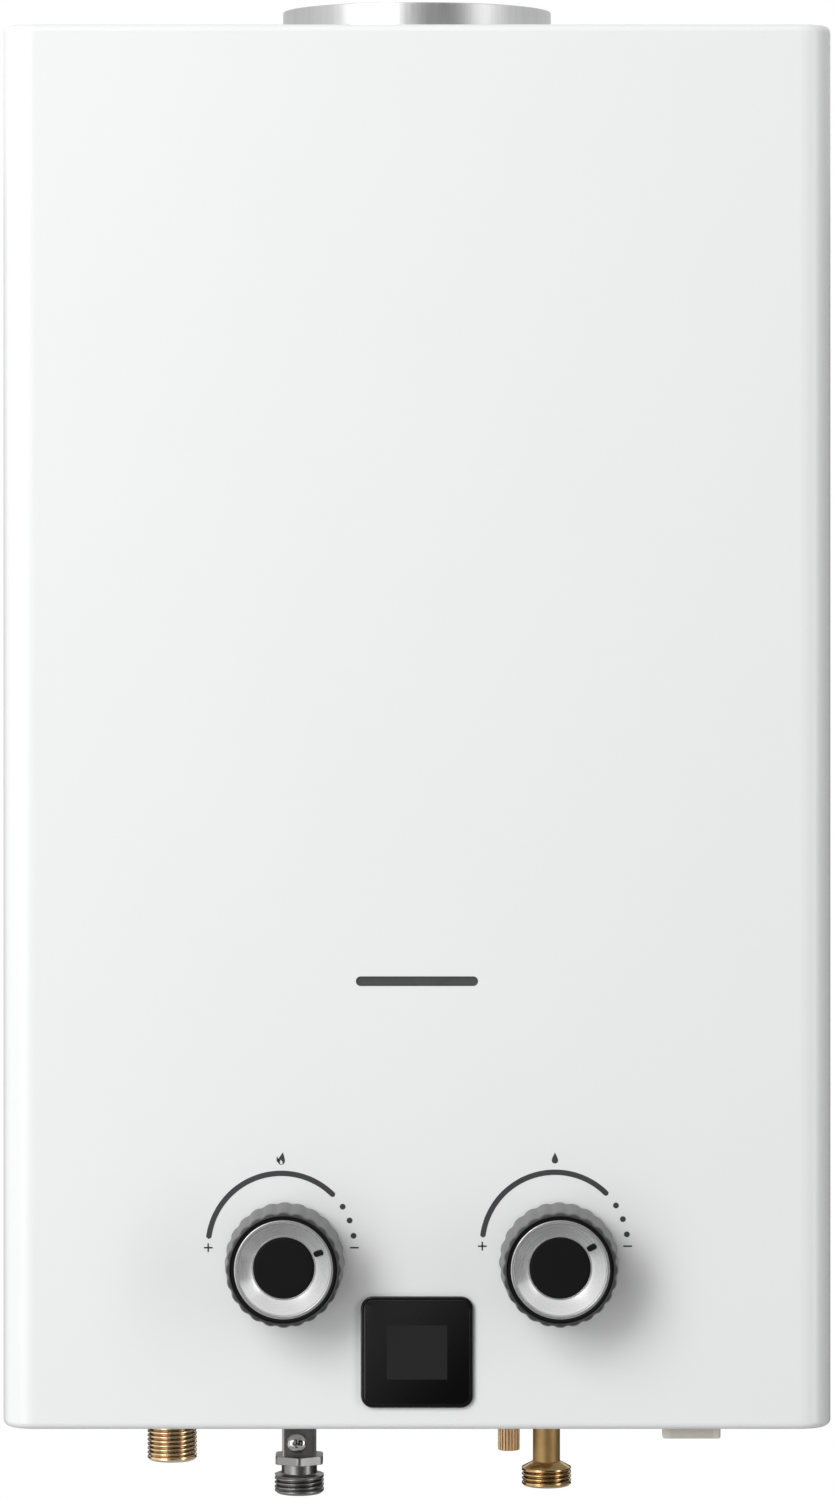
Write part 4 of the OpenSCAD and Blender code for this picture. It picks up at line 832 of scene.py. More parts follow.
def eased(corners: Sequence[tuple[float, float, float]], steps: int = 5, closed: bool = False) -> np.ndarray:
    """A line through corners, each replaced by a quadratic curve from one side to the other.

    Args:
        corners: First and second coordinate of each corner, and how far from it the curve starts.
        steps: Points on a curve, less one.
        closed: Whether the last corner runs on to the first.

    Returns:
        The line's points.
    """
    spots = np.array([corner[:2] for corner in corners], float)
    last = len(spots) - 1
    line = []
    for i, here in enumerate(spots):
        ease = corners[i][2]
        if ease <= 0 or (not closed and i in (0, last)):
            line.append(here[None])
            continue
        before, after = spots[i - 1] - here, spots[(i + 1) % len(spots)] - here
        start = here + before * min(ease / np.linalg.norm(before), 0.5)
        stop = here + after * min(ease / np.linalg.norm(after), 0.5)
        t = np.linspace(0.0, 1.0, steps + 1)[:, None]
        line.append((1 - t) ** 2 * start + 2 * t * (1 - t) * here + t ** 2 * stop)
    return np.concatenate(line)


def angles(count: int) -> np.ndarray:
    """Evenly spread angles around a ring."""
    return np.arange(count) * TAU / count


Shaper = Callable[[np.ndarray, np.ndarray, np.ndarray], tuple[np.ndarray, np.ndarray]]


def revolved(profile: np.ndarray, at: Sequence[float], axis: Axis, ends: Ends, count: int = 96,
             shape: Optional[Shaper] = None) -> Surface:
    """A profile of (radius, height) carried around an axis: x = r cos t, y = r sin t.

    Args:
        profile: The profile's points.
        at: The origin on the axis.
        axis: The axis.
        ends: How the profile's ends are closed.
        count: Points around.
        shape: Changes the radius by angle and height, and gives how deep in a groove each point is.

    Returns:
        The surface, which carries "groove" and "reach", the distance from the axis in metres.
    """
    turn = angles(count)[None]
    radius = np.repeat(profile[:, :1], count, 1)
    height = np.repeat(profile[:, 1:], count, 1)
    angle = np.repeat(turn, len(profile), 0)
    groove = np.zeros_like(radius)
    if shape is not None:
        radius, groove = shape(radius, angle, height)
    rings = stood(radius * np.cos(angle), radius * np.sin(angle), height, axis, at)
    return loft(rings, ends, {"groove": groove, "reach": radius * MM})


def rounded_ring(width: float, height: float, radius: float, steps: int = 8) -> np.ndarray:
    """The outline of a rectangle with round corners, as points in its plane.

    Args:
        width: Its width.
        height: Its height.
        radius: The corners' radius.
        steps: Points on each corner, less one.

    Returns:
        The points, anticlockwise.
    """
    quarter = np.linspace(0.0, math.pi / 2, steps + 1)
    turns = np.concatenate([quarter + k * math.pi / 2 for k in range(4)])
    side = np.repeat(np.array([[1, 1], [-1, 1], [-1, -1], [1, -1]], float), steps + 1, 0)
    middle = side * np.array([width / 2 - radius, height / 2 - radius])
    return middle + radius * np.stack((np.cos(turns), np.sin(turns)), -1)


def stacked(levels: Sequence[tuple[float, float, float, float]], at: Sequence[float], axis: Axis,
            steps: int = 8, ends: Ends = Ends.CAPPED) -> Surface:
    """Round-cornered outlines stacked along an axis.

    Args:
        levels: Width, height, corner radius and place along the axis of each outline.
        at: The origin on the axis.
        axis: The axis.
        steps: Points on each corner, less one.
        ends: How the first and last outline are closed.

    Returns:
        The surface.
    """
    rings = [stood(ring[:, 0], ring[:, 1], np.full(len(ring), level), axis, at)
             for ring, level in ((rounded_ring(w, h, r, steps), level) for w, h, r, level in levels)]
    return loft(np.array(rings), ends)


def eased_slab(width: float, height: float, radius: float, low: float, high: float, ease: float,
               at: Sequence[float], axis: Axis) -> Surface:
    """A round-cornered slab whose two rims are quarter rounds: inset e (1 - sin a), level e (1 - cos a).

    Args:
        width: Its width.
        height: Its height.
        radius: Radius of its corners.
        low: Where it starts along the axis.
        high: Where it ends.
        ease: Radius of the rims.
        at: The origin on the axis.
        axis: The axis.

    Returns:
        The slab.
    """
    bend = np.linspace(0.0, math.pi / 2, 5)
    inset = ease * (1 - np.sin(bend))
    rise = ease * (1 - np.cos(bend))
    levels = [(width - 2 * i, height - 2 * i, max(radius - i, LEAST_ROUND), low + r) for i, r in zip(inset, rise)]
    levels += [(w, h, r, low + high - level) for w, h, r, level in reversed(levels)]
    return stacked(levels, at, axis)


@dataclass(frozen=True)
class PipeThread:
    """A half-inch pipe thread between two heights."""

    crest: float
    start: float
    end: float
    pitch: float = 1.814
    depth: float = 1.1
    crest_share: float = 0.22
    root_share: float = 0.14
    rows: int = 18

    def profile(self) -> np.ndarray:
        """Crest and height of the rows that carry the thread."""
        heights = np.linspace(self.start, self.end, int((self.end - self.start) / self.pitch * self.rows) + 1)
        return np.stack((np.full_like(heights, self.crest), heights), -1)

    def shape(self, radius: np.ndarray, angle: np.ndarray, height: np.ndarray) -> tuple[np.ndarray, np.ndarray]:
        """Radius less depth times a flat-topped wave of (z / pitch - t / turn), fading out at both ends.

        Args:
            radius: Radius of each point before the cut.
            angle: Its angle around the axis.
            height: Its height.

        Returns:
            The radius after the cut, and how deep in the groove the point is.
        """
        turns = height / self.pitch - angle / TAU
        slope = np.abs(2 * (turns - np.floor(turns)) - 1)
        flank = np.clip((slope - self.crest_share) / (1 - self.crest_share - self.root_share), 0, 1)
        wave = flank * flank * (3 - 2 * flank)
        fade = np.clip((height - self.start) / self.pitch, 0, 1) * np.clip((self.end - height) / self.pitch, 0, 1)
        groove = wave * fade * (np.abs(radius - self.crest) < 0.01)
        return radius - self.depth * groove, groove


def flat_sided(angle: np.ndarray, apothem: float, faces: int, turn: float, power: float = 22.0) -> np.ndarray:
    """Radius of a polygon with soft corners: apothem / (sum of |cos(t - a)|^p)^(1/p) over its face directions.

    Args:
        angle: Angles around the axis.
        apothem: Distance of the flats from the axis.
        faces: Number of flats, an even number.
        turn: Direction of the first flat.
        power: How crisp the corners are.

    Returns:
        The radius at each angle.
    """
    total = sum(np.abs(np.cos(angle - turn - k * TAU / faces)) ** power for k in range(faces // 2))
    return apothem / total ** (1.0 / power)


def soft_box(angle: np.ndarray, half: Pair, power: int) -> np.ndarray:
    """Radius of a rectangle with soft corners: 1 / ((|cos t| / w)^p + (|sin t| / h)^p)^(1/p)."""
    total = (np.abs(np.cos(angle)) / half[0]) ** power + (np.abs(np.sin(angle)) / half[1]) ** power
    return 1.0 / total ** (1 / power)


# Making pieces


def placed(name: str, data: bpy.types.ID) -> bpy.types.Object:
    """A new object in the scene.

    Args:
        name: Its name.
        data: Its mesh, lamp or camera.

    Returns:
        The object.
    """
    made = bpy.data.objects.new(name, data)
    bpy.context.scene.collection.objects.link(made)
    return made


@dataclass
class Piece:
    """One finished object that rides on a body of the frame."""

    name: str
    surface: Surface
    finish: str
    stands_for: str = ""
    slot: str = ""
    body: str = "casing"
    crease: float = 32.0

    def make(self, finishes: Finishes) -> None:
        """Builds the mesh, turns its faces outwards, parents it to its body's empty and hides the node that it stands
        for.

        Args:
            finishes: The finishes by name.
        """
        mesh = bpy.data.meshes.new(self.name)
        faces = self.surface.quads.tolist() + [cap.tolist() for cap in self.surface.caps]
        mesh.from_pydata((self.surface.points * MM).tolist(), [], faces)
        for name, numbers in self.surface.marks.items():
            mesh.attributes.new(name, "FLOAT", "POINT").data.foreach_set("value", numbers.astype(np.float32))
        shell = bmesh.new()
        shell.from_mesh(mesh)
        bmesh.ops.recalc_face_normals(shell, faces=shell.faces)
        shell.to_mesh(mesh)
        shell.free()
        mesh.shade_smooth()
        mesh.set_sharp_from_angle(angle=math.radians(self.crease))
        mesh.materials.append(finishes[self.finish])
        made = placed(self.name, mesh)
        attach(made, self.body)
        if self.stands_for:
            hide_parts(self.stands_for)
        log.info("%s: %d points on %s", self.name, len(mesh.vertices), self.body)


# Sub-assemblies


@dataclass
class Knob:
    """A control knob: fluted grip, black core with its cap and pointer, and a bright dish."""

    label: str
    x: float
    pointer: float
    z: float = -218.5
    base: float = 2.0
    tip: float = 26.0
    base_r: float = 24.5
    tip_r: float = 23.5
    flutes: int = 24
    flute_depth: float = 0.6
    flute_power: float = 1.7
    flute_soft: float = 0.6
    flute_points: int = 14
    bevel: Pair = (1.05, 1.5)
    swell: float = 0.06
    play: float = 0.05
    fit_r: float = 21.7
    dish_r: float = 20.1
    dish_in: float = 18.7
    dish_top: float = 25.0
    dish_depth: float = 5.4
    dish_curve: float = 1.1
    dish_t: float = 1.2
    dish_gap: float = 0.02
    dish_points: int = 144
    lip_drop: float = 0.3
    lip_in: float = 0.12
    rim_w: float = 0.45
    rim_top: float = 0.4
    rim_h: float = 0.24
    ring_drop: float = 0.8
    cap_r: float = 12.4
    cap_gap: float = 0.1
    cap_sunk: float = 2.4
    cap_bevel: float = 1.2
    cap_rise: Place = (0.05, 0.16, 0.22)
    hub_r: float = 10.0
    hub_foot: float = 0.2
    hub_h: float = 3.0
    bore_r: float = 4.05
    bore_end: float = 15.4
    bar: Place = (5.0, 2.4, 0.95)
    bar_span: Pair = (-1.5, 0.7)
    bar_ease: float = 0.4
    lean: float = 40.0
    core_points: int = 120

    @property
    def at(self) -> Place:
        """Where the axis meets the front face."""
        return (self.x, -FRONT, self.z)

    def fluted(self, radius: np.ndarray, angle: np.ndarray, height: np.ndarray) -> tuple[np.ndarray, np.ndarray]:
        """Radius less depth times (0.5 - 0.5 cos(n t))^p on the outer wall, easing off over the front bevel.

        Args:
            radius: Radius of each point on the plain cone.
            angle: Its angle.
            height: Its height from the front face.

        Returns:
            The fluted radius, and how deep in a flute the point is.
        """
        wave = (0.5 - 0.5 * np.cos(self.flutes * angle)) ** self.flute_power
        outer = np.clip((radius - self.fit_r - self.flute_soft) / self.flute_soft, 0, 1)
        groove = wave * outer
        return radius - self.flute_depth * groove, groove

    def grip(self) -> Surface:
        """A hollow cone with soft flutes, a rounded base and a rounded front bevel.

        Returns:
            The surface.
        """
        inner = self.fit_r + self.play
        inset, drop = self.bevel
        profile = eased([(inner, self.base, 0.3), (self.base_r, self.base, 0.5),
                         (self.tip_r + self.swell, self.tip - drop, 0.7), (self.tip_r - inset, self.tip, 0.45),
                         (inner, self.tip, 0.25)], 5, True)
        return revolved(profile, self.at, Axis.FRONT, Ends.LOOPED, self.flutes * self.flute_points, self.fluted)

    def hollow(self, drop: float, steps: int = 22) -> np.ndarray:
        """The dish's curve, lowered by a drop: height = top - depth (1 - (1 - s)^curve) from lip to cap.

        Args:
            drop: How far it is lowered.
            steps: Points along it.

        Returns:
            Its points, as radius and height.
        """
        s = np.linspace(0.0, 1.0, steps)
        edge = self.cap_r + self.cap_gap
        return np.stack((self.dish_in - s * (self.dish_in - edge),
                         self.dish_top - drop - self.dish_depth * (1 - (1 - s) ** self.dish_curve)), -1)

    def dish(self) -> Surface:
        """A turned cup of even thickness with a flat lip, a fine step inside it and a narrow rim around the cap.

        Returns:
            The surface.
        """
        outer = self.dish_r - self.dish_gap
        lip = eased([(outer, self.dish_top - self.dish_t, 0.0), (outer, self.dish_top, 0.35),
                     (self.dish_in + self.lip_in, self.dish_top, 0.22),
                     (self.dish_in, self.dish_top - self.lip_drop, 0.0)])
        top = self.hollow(self.lip_drop)
        edge, floor = top[-1]
        rim = eased([(edge + self.rim_w, floor, 0.0), (edge + self.rim_top, floor + self.rim_h, 0.1),
                     (edge, floor + self.rim_h, 0.1), (edge, floor, 0.0)])
        under = self.hollow(self.dish_t)[::-1]
        profile = np.concatenate((lip, top[1:-2], rim, under))
        return revolved(profile, self.at, Axis.FRONT, Ends.LOOPED, self.dish_points)

    def core(self) -> Surface:
        """The black core: a hub with the spindle's bore, the ring around the dish, the cap, and the pointer.

        Returns:
            The surface.
        """
        foot, shoulder, ring = self.base + self.hub_foot, self.base + self.hub_h, self.tip - self.ring_drop
        seat, cap = self.dish_top - self.dish_t, self.dish_top - self.dish_depth
        rim, dome, crown = self.cap_rise
        body = eased([(PIN_R, self.bore_end, 0.0), (self.bore_r, self.bore_end, 0.0), (self.bore_r, foot, 0.0),
                      (self.hub_r, foot, 0.4), (self.hub_r, shoulder, 0.0), (self.fit_r, shoulder, 0.4),
                      (self.fit_r, ring, 0.5), (self.dish_r, ring, 0.4), (self.dish_r, seat - 0.05, 0.0),
                      (self.dish_in, seat - 0.1, 0.0), (self.cap_r, cap - self.cap_sunk, 0.0),
                      (self.cap_r, cap + rim, 0.5), (self.cap_r - self.cap_bevel, cap + dome, 0.6),
                      (PIN_R, cap + crown, 0.0)])
        turned = revolved(body, self.at, Axis.FRONT, Ends.CAPPED, self.core_points)
        reach = (self.dish_in + self.cap_r) / 2
        level = self.dish_top - self.lip_drop - self.dish_depth * (1 - 0.5 ** self.dish_curve)
        middle = (self.x + reach, -FRONT - level, self.z)
        bar = eased_slab(*self.bar, *self.bar_span, self.bar_ease, middle, Axis.FRONT)
        return turned + bar.turned(-self.lean, middle, Axis.UP).turned(self.pointer, self.at, Axis.FRONT)

    def build(self) -> list[Piece]:
        """The knob's three pieces, each in place of its own node."""
        body = f"{self.label}_knob"
        return [Piece(f"{self.label}_grip", self.grip(), "grip_plastic", f"{body}_grip", body=body, crease=40),
                Piece(f"{self.label}_core", self.core(), "black_plastic", f"{body}_core", body=body),
                Piece(f"{self.label}_dish", self.dish(), "bright_trim", f"{body}_dish", body=body)]


class Sign(Enum):
    """What the sign over a scale shows."""

    FLAME = "flame"
    DROP = "drop"


@dataclass
class Scale:
    """The printed scale around a knob: an arc, three dots, a plus and a minus, and a sign over it."""

    label: str
    shows: Sign
    x: float
    z: float
    radius: float
    sign_z: float
    line: float = 2.2
    arc: Pair = (43.2, 174.2)
    arc_points: int = 120
    plus_at: float = 181.0
    minus_at: float = -1.0
    dots: tuple[float, ...] = (8.4, 20.8, 32.9)
    dot_r: float = 1.18
    dot_points: int = 40
    mark: float = 3.6
    mark_line: float = 0.62
    mark_round: float = 0.1
    film: float = 0.07
    sunk: float = 0.02
    water: Drop = (1.85, 2.3, 0.0, 0.0)
    flame: Drop = (2.05, 2.6, 0.2, 0.75)
    heart: Drop = (0.85, 1.0, -1.2, -0.25)
    tongue: Drop = (0.75, 1.25, -0.1, -0.5)
    tongue_x: float = -1.35
    drop_power: float = 1.6
    drop_points: int = 96

    def spot(self, degrees: float) -> Place:
        """The point on the scale's circle at an angle from the right, on the front face."""
        angle = math.radians(degrees)
        return (self.x + self.radius * math.cos(angle), -FRONT, self.z + self.radius * math.sin(angle))

    def stroke(self) -> Surface:
        """A flat band along the arc, its half width w sqrt(1 - e^2) closing the round ends.

        Returns:
            The surface.
        """
        turn = np.radians(np.linspace(*self.arc, self.arc_points))
        half = self.line / 2
        reach = self.radius * np.minimum(turn - turn[0], turn[-1] - turn)
        inside = np.clip(1 - reach / half, 0.0, 0.9999)
        width = half * np.sqrt(1 - inside ** 2)
        side = np.array([-1.0, 1.0, 1.0, -1.0])
        level = np.array([-self.sunk, -self.sunk, self.film, self.film])
        radius = self.radius + width[:, None] * side
        rings = stood(radius * np.cos(turn)[:, None], radius * np.sin(turn)[:, None],
                      np.broadcast_to(level, radius.shape), Axis.FRONT, (self.x, -FRONT, self.z))
        return loft(rings, Ends.CAPPED)

    def dot(self, degrees: float) -> Surface:
        """A round dot on the scale's circle.

        Args:
            degrees: Its angle on the circle, from the right.

        Returns:
            The surface.
        """
        near, low, high = FINE_PIN_R, -self.sunk, self.film
        profile = np.array([[near, low], [self.dot_r, low], [self.dot_r, high], [near, high]])
        return revolved(profile, self.spot(degrees), Axis.FRONT, Ends.CAPPED, self.dot_points)

    def bar(self, at: Sequence[float], width: float, height: float) -> Surface:
        """A thin printed bar."""
        levels = [(width, height, self.mark_round, level) for level in (-self.sunk, self.film)]
        return stacked(levels, at, Axis.FRONT, 3)

    def drop(self, half_w: float, half_h: float, rise: float, lean: float) -> np.ndarray:
        """A drop's outline, x = w sin t sin^p(t / 2), z = h cos t, its tip swung aside by lean ((1 + cos t) / 2)^2.

        Args:
            half_w: The width factor w.
            half_h: Half its height.
            rise: How far its middle lies above the sign's place.
            lean: How far the tip swings to the right.

        Returns:
            The outline's points.
        """
        t = angles(self.drop_points)
        belly = half_w * np.sin(t) * np.abs(np.sin(t / 2)) ** self.drop_power
        across = belly + lean * ((1 + np.cos(t)) / 2) ** 2
        return np.stack((across, rise + half_h * np.cos(t)), -1)

    def sign(self) -> Surface:
        """A water drop, or a flame: a leaning drop with a smaller one left open inside it and a tongue beside it.

        Returns:
            The surface.
        """
        at = (self.x, -FRONT, self.sign_z)

        def printed(outlines: Sequence[tuple[np.ndarray, float]], ends: Ends) -> Surface:
            """A film from outlines, each at its own level."""
            rings = [stood(ring[:, 0], ring[:, 1], np.full(len(ring), level), Axis.FRONT, at)
                     for ring, level in outlines]
            return loft(np.array(rings), ends)

        low, high = -self.sunk, self.film
        if self.shows is Sign.DROP:
            shape = self.drop(*self.water)
            return printed(((shape, low), (shape, high)), Ends.CAPPED)
        outer, inner = self.drop(*self.flame), self.drop(*self.heart)
        body = printed(((outer, low), (outer, high), (inner, high), (inner, low)), Ends.LOOPED)
        tongue = self.drop(*self.tongue) + np.array([self.tongue_x, 0.0])
        return body + printed(((tongue, low), (tongue, high)), Ends.CAPPED)

    def build(self) -> list[Piece]:
        """The printed marks as two pieces.

        Returns:
            The arc with its dots, plus and minus, and the sign.
        """
        plus, minus = self.spot(self.plus_at), self.spot(self.minus_at)
        marks = [self.stroke(), *(self.dot(degrees) for degrees in self.dots),
                 self.bar(plus, self.mark, self.mark_line), self.bar(plus, self.mark_line, self.mark),
                 self.bar(minus, self.mark, self.mark_line)]
        return [Piece(f"{self.label}_scale", joined(marks), "printed_ink", slot="black_plastic"),
                Piece(f"{self.label}_sign", self.sign(), "printed_ink", slot="black_plastic")]


@dataclass
class FlueCollar:
    """The spun collar that takes the flue pipe, with its fixing ears and inner stop."""

    at: Place = (0.0, -75.0, 0.0)
    outer: float = 56.5
    wall: float = 1.0
    stop: float = 52.5
    ear_r: float = 66.5
    ear_half: float = 56.0
    foot: float = 266.5
    top: float = 298.0
    points: int = 192

    def eared(self, radius: np.ndarray, angle: np.ndarray, height: np.ndarray) -> tuple[np.ndarray, np.ndarray]:
        """The flange's radius, held to where its straight front and rear edges cut it: half / |sin t|.

        Args:
            radius: Radius of each point.
            angle: Its angle.
            height: Its height, which plays no part.

        Returns:
            The cut radius, and no groove.
        """
        straight = self.ear_half / np.maximum(np.abs(np.sin(angle)), 1e-6)
        held = np.maximum(np.minimum(radius, straight), self.outer + 0.02)
        cut = np.where(radius > self.outer + 0.01, held, radius)
        return cut, np.zeros_like(cut)

    def build(self) -> list[Piece]:
        """The collar as one closed turned piece with a rounded rim.

        Returns:
            The piece.
        """
        inner = self.outer - self.wall
        floor = self.foot + self.wall
        profile = eased([(self.stop, self.foot, 0.2), (self.ear_r, self.foot, 0.2), (self.ear_r, floor, 0.2),
                         (self.outer, floor, 0.8), (self.outer, self.top, 0.45), (inner, self.top, 0.45),
                         (inner, floor, 0.3), (self.stop, floor, 0.2)], 5, True)
        skin = revolved(profile, self.at, Axis.UP, Ends.LOOPED, self.points, self.eared)
        return [Piece("collar", skin, "flue_metal", "flue_collar")]


@dataclass(frozen=True)
class CrossHead:
    """A domed screw head with a cross recess, on a short shank."""

    radius: float
    height: float
    shank: float = 2.0
    shank_depth: float = 4.0
    rim: float = 0.2
    fall: float = 0.97
    arm: Pair = (0.1, 0.4)
    arm_soft: float = 0.07
    sunk: float = 0.42
    rows: int = 34
    count: int = 96

    def surface(self, at: Sequence[float], axis: Axis) -> Surface:
        """A dome h (e + (1 - e) sqrt(1 - f (r / R)^2)), less the recess where a point is inside either arm.

        Args:
            at: The seat's middle.
            axis: The way the head points.

        Returns:
            The head and shank.
        """
        reach = self.radius * np.linspace(0.005, 1.0, self.rows)[::-1, None]
        angle = angles(self.count)[None]
        across, along = reach * np.cos(angle), reach * np.sin(angle)
        dome = self.height * (self.rim + (1 - self.rim) * np.sqrt(1 - self.fall * (reach / self.radius) ** 2))
        width, length = (self.radius * share for share in self.arm)
        arm = np.minimum(np.maximum(np.abs(across) - width, np.abs(along) - length),
                         np.maximum(np.abs(along) - width, np.abs(across) - length))
        recess = np.clip(0.5 - arm / (self.radius * self.arm_soft), 0.0, 1.0)
        level = dome - self.sunk * self.height * recess
        foot_r = np.array([[FINE_PIN_R], [self.shank], [self.shank], [self.radius]])
        foot_z = np.array([[-1.0], [-1.0], [0.0], [0.0]]) * self.shank_depth * np.ones_like(angle)
        across = np.concatenate((foot_r * np.cos(angle), across))
        along = np.concatenate((foot_r * np.sin(angle), along))
        return loft(stood(across, along, np.concatenate((foot_z, level)), axis, at), Ends.CAPPED)


@dataclass
class Fittings:
    """The three threaded connections, the test point screw and the drain plug under the casing."""

    pipe_y: float = -60.0
    crest: float = 10.4775
    chamfer: float = 1.0
    bore: float = 7.0
    thread_points: int = 108
    deck_top: float = -285.6
    flange_top: float = -283.1
    hot_x: float = -104.0
    hot_end: float = -315.0
    hot_bore_top: float = -286.0
    hot_neck: float = 10.18
    hot_neck_low: float = -288.4
    hot_flange: float = 14.5
    hot_socket: float = 9.0
    hot_socket_top: float = -262.0
    hot_seat: float = 7.1
    hot_seat_low: float = -280.0
    gas_x: float = -50.0
    gas_end: float = -329.1
    gas_thread: float = 7.8
    gas_neck: float = 8.4
    gas_bore: float = 5.5
    gas_waist: float = 7.5
    gas_points: int = 160
    hex_h: float = 3.6
    hex_flat: float = 10.0
    hex_corner: float = 11.1
    hex_power: float = 40.0
    stem_half: float = 7.15
    foot_half: float = 13.15
    foot_power: float = 30.0
    flange_half: Pair = (17.0, 14.0)
    flange_power: int = 26
    flange_span: Pair = (-262.0, -258.0)
    port: float = 6.0
    port_low: float = -268.0
    test_head: CrossHead = CrossHead(4.15, 2.9)
    test_aside: float = 0.9
    test_up: float = 6.0
    drain_x: float = 39.0
    drain_end: float = -311.0
    drain_r: float = 4.65
    drain_top: float = -270.3
    drain_stem: float = 3.0
    drain_stem_top: float = -254.1
    ridges: int = 20
    ridge_depth: float = 0.5
    ridge_power: int = 3
    ridge_foot: float = 4.0
    ridge_low: float = 5.0
    ridge_top: float = -289.5
    ridge_rows: int = 12
    ridge_fade: Pair = (0.4, 1.2)
    drain_points: int = 240
    cold_x: float = 55.0
    cold_end: float = -325.9
    cold_thread: float = 7.6
    cold_chamfer: float = 0.8
    cone: float = 2.6
    pipe_r: float = 5.75
    nut: float = 9.5
    nut_span: Pair = (-264.0, -258.0)
    plate_r: float = 13.5
    plate_gap: float = 5.65
    plate_points: int = 96

    def hot(self) -> Surface:
        """The hot outlet: a long thread, a collar on the deck and the tube's socket.

        Returns:
            The surface.
        """
        thread = PipeThread(self.crest, self.hot_end + self.chamfer, UNDERSIDE - self.chamfer)
        lower = eased([(self.bore, self.hot_bore_top, 0.0), (self.bore, self.hot_end, 0.3),
                       (self.crest - self.chamfer, self.hot_end, 0.25)])
        upper = eased([(self.hot_neck, self.hot_neck_low, 0.0), (self.hot_neck, self.deck_top, 0.0),
                       (self.hot_flange, self.deck_top, 0.3), (self.hot_flange, self.flange_top, 0.4),
                       (self.hot_socket, self.flange_top, 0.4), (self.hot_socket, self.hot_socket_top, 0.5),
                       (self.hot_seat, self.hot_socket_top, 0.0), (self.hot_seat, self.hot_seat_low, 0.0),
                       (self.bore - 0.02, self.hot_bore_top + 0.1, 0.0)])
        return revolved(np.concatenate((lower, thread.profile(), upper)), (self.hot_x, self.pipe_y, 0.0), Axis.UP,
                        Ends.LOOPED, self.thread_points, thread.shape)

    def gas(self) -> Surface:
        """The gas inlet: thread, neck, hexagon, square stem, foot plate and flange, one ring over another.

        Returns:
            The surface.
        """
        angle, every = angles(self.gas_points), np.ones(self.gas_points)
        neck = self.gas_end + self.gas_thread
        top = neck + self.gas_neck
        low = top - self.hex_h
        thread = PipeThread(self.crest, self.gas_end + self.chamfer, neck)
        bored = eased([(PIN_R, top - 0.3, 0.0), (self.gas_bore, top - 0.2, 0.0), (self.gas_bore, self.gas_end, 0.3),
                       (self.crest - self.chamfer, self.gas_end, 0.25)])
        waist = eased([(self.crest - 0.5, neck + 0.2, 0.0), (self.gas_waist, neck + 0.4, 0.6),
                       (self.gas_waist, low - 0.1, 0.0)])
        profile = np.concatenate((bored, thread.profile(), waist))
        height = profile[:, 1:] * every
        radius, groove = thread.shape(profile[:, :1] * every, angle * np.ones_like(height), height)
        hexagon = flat_sided(angle, self.hex_flat, 6, 0.0, self.hex_power)
        rim = np.minimum(hexagon, self.hex_corner)
        stem = flat_sided(angle, self.stem_half, 4, 0.0)
        foot = flat_sided(angle, self.foot_half, 4, 0.0, self.foot_power)
        flange = soft_box(angle, self.flange_half, self.flange_power)
        base, face = self.flange_span
        shaped = ((rim - 0.15, low), (rim, low + 0.15), (hexagon, low + 0.5), (hexagon, top - 0.5),
                  (rim, top - 0.15), (rim - 0.15, top), (stem, top + 0.05), (stem, self.deck_top),
                  (foot, self.deck_top), (foot, self.flange_top), (stem, self.flange_top), (stem, base),
                  (flange - 0.3, base), (flange, base + 0.4), (flange, face - 0.3), (flange - 0.3, face),
                  (self.port * every, face), (self.port * every, self.port_low), (PIN_R * every, self.port_low - 0.5))
        radius = np.concatenate((radius, [ring for ring, _ in shaped]))
        height = np.concatenate((height, [level * every for _, level in shaped]))
        groove = np.concatenate((groove, np.zeros((len(shaped), len(angle)))))
        rings = stood(radius * np.cos(angle), radius * np.sin(angle), height, Axis.UP, (self.gas_x, self.pipe_y, 0.0))
        return loft(rings, Ends.CAPPED, {"groove": groove, "reach": radius * MM})

    def cold(self) -> Surface:
        """The cold inlet's short thread, cone and pipe, with the nut and the plate that hold it.

        Returns:
            The surface.
        """
        neck = self.cold_end + self.cold_thread
        thread = PipeThread(self.crest, self.cold_end + self.cold_chamfer, neck)
        low, high = self.nut_span
        lower = eased([(PIN_R, neck - 0.9, 0.0), (self.bore, neck - 1.0, 0.0), (self.bore, self.cold_end, 0.3),
                       (self.crest - self.cold_chamfer, self.cold_end, 0.2)])
        upper = eased([(self.crest - 0.05, neck + 0.1, 0.0), (self.pipe_r, neck + self.cone, 0.5),
                       (self.pipe_r, low, 0.0), (self.nut, low, 0.3), (self.nut, high, 0.3), (PIN_R, high, 0.0)])
        at = (self.cold_x, self.pipe_y, 0.0)

        def shape(radius: np.ndarray, angle: np.ndarray, height: np.ndarray) -> tuple[np.ndarray, np.ndarray]:
            """The thread low down, and a hexagon where the radius is the nut's.

            Args:
                radius: Radius of each point.
                angle: Its angle.
                height: Its height.

            Returns:
                The shaped radius, and how deep in a groove the point is.
            """
            cut, groove = thread.shape(radius, angle, height)
            nut = (height > low - 0.1) & (radius > self.nut - 0.5)
            return np.where(nut, flat_sided(angle, self.nut, 6, 0.0) * radius / self.nut, cut), groove

        profile = np.concatenate((lower, thread.profile(), upper))
        pipe = revolved(profile, at, Axis.UP, Ends.CAPPED, self.thread_points, shape)
        turn = angles(self.plate_points)
        limit = self.drain_x - self.cold_x + self.plate_gap
        across, along, level = np.broadcast_arrays(np.maximum(self.plate_r * np.cos(turn), limit),
                                                   self.plate_r * np.sin(turn),
                                                   np.array([[self.deck_top], [self.flange_top]]))
        return pipe + loft(stood(across, along, level, Axis.UP, at), Ends.CAPPED)

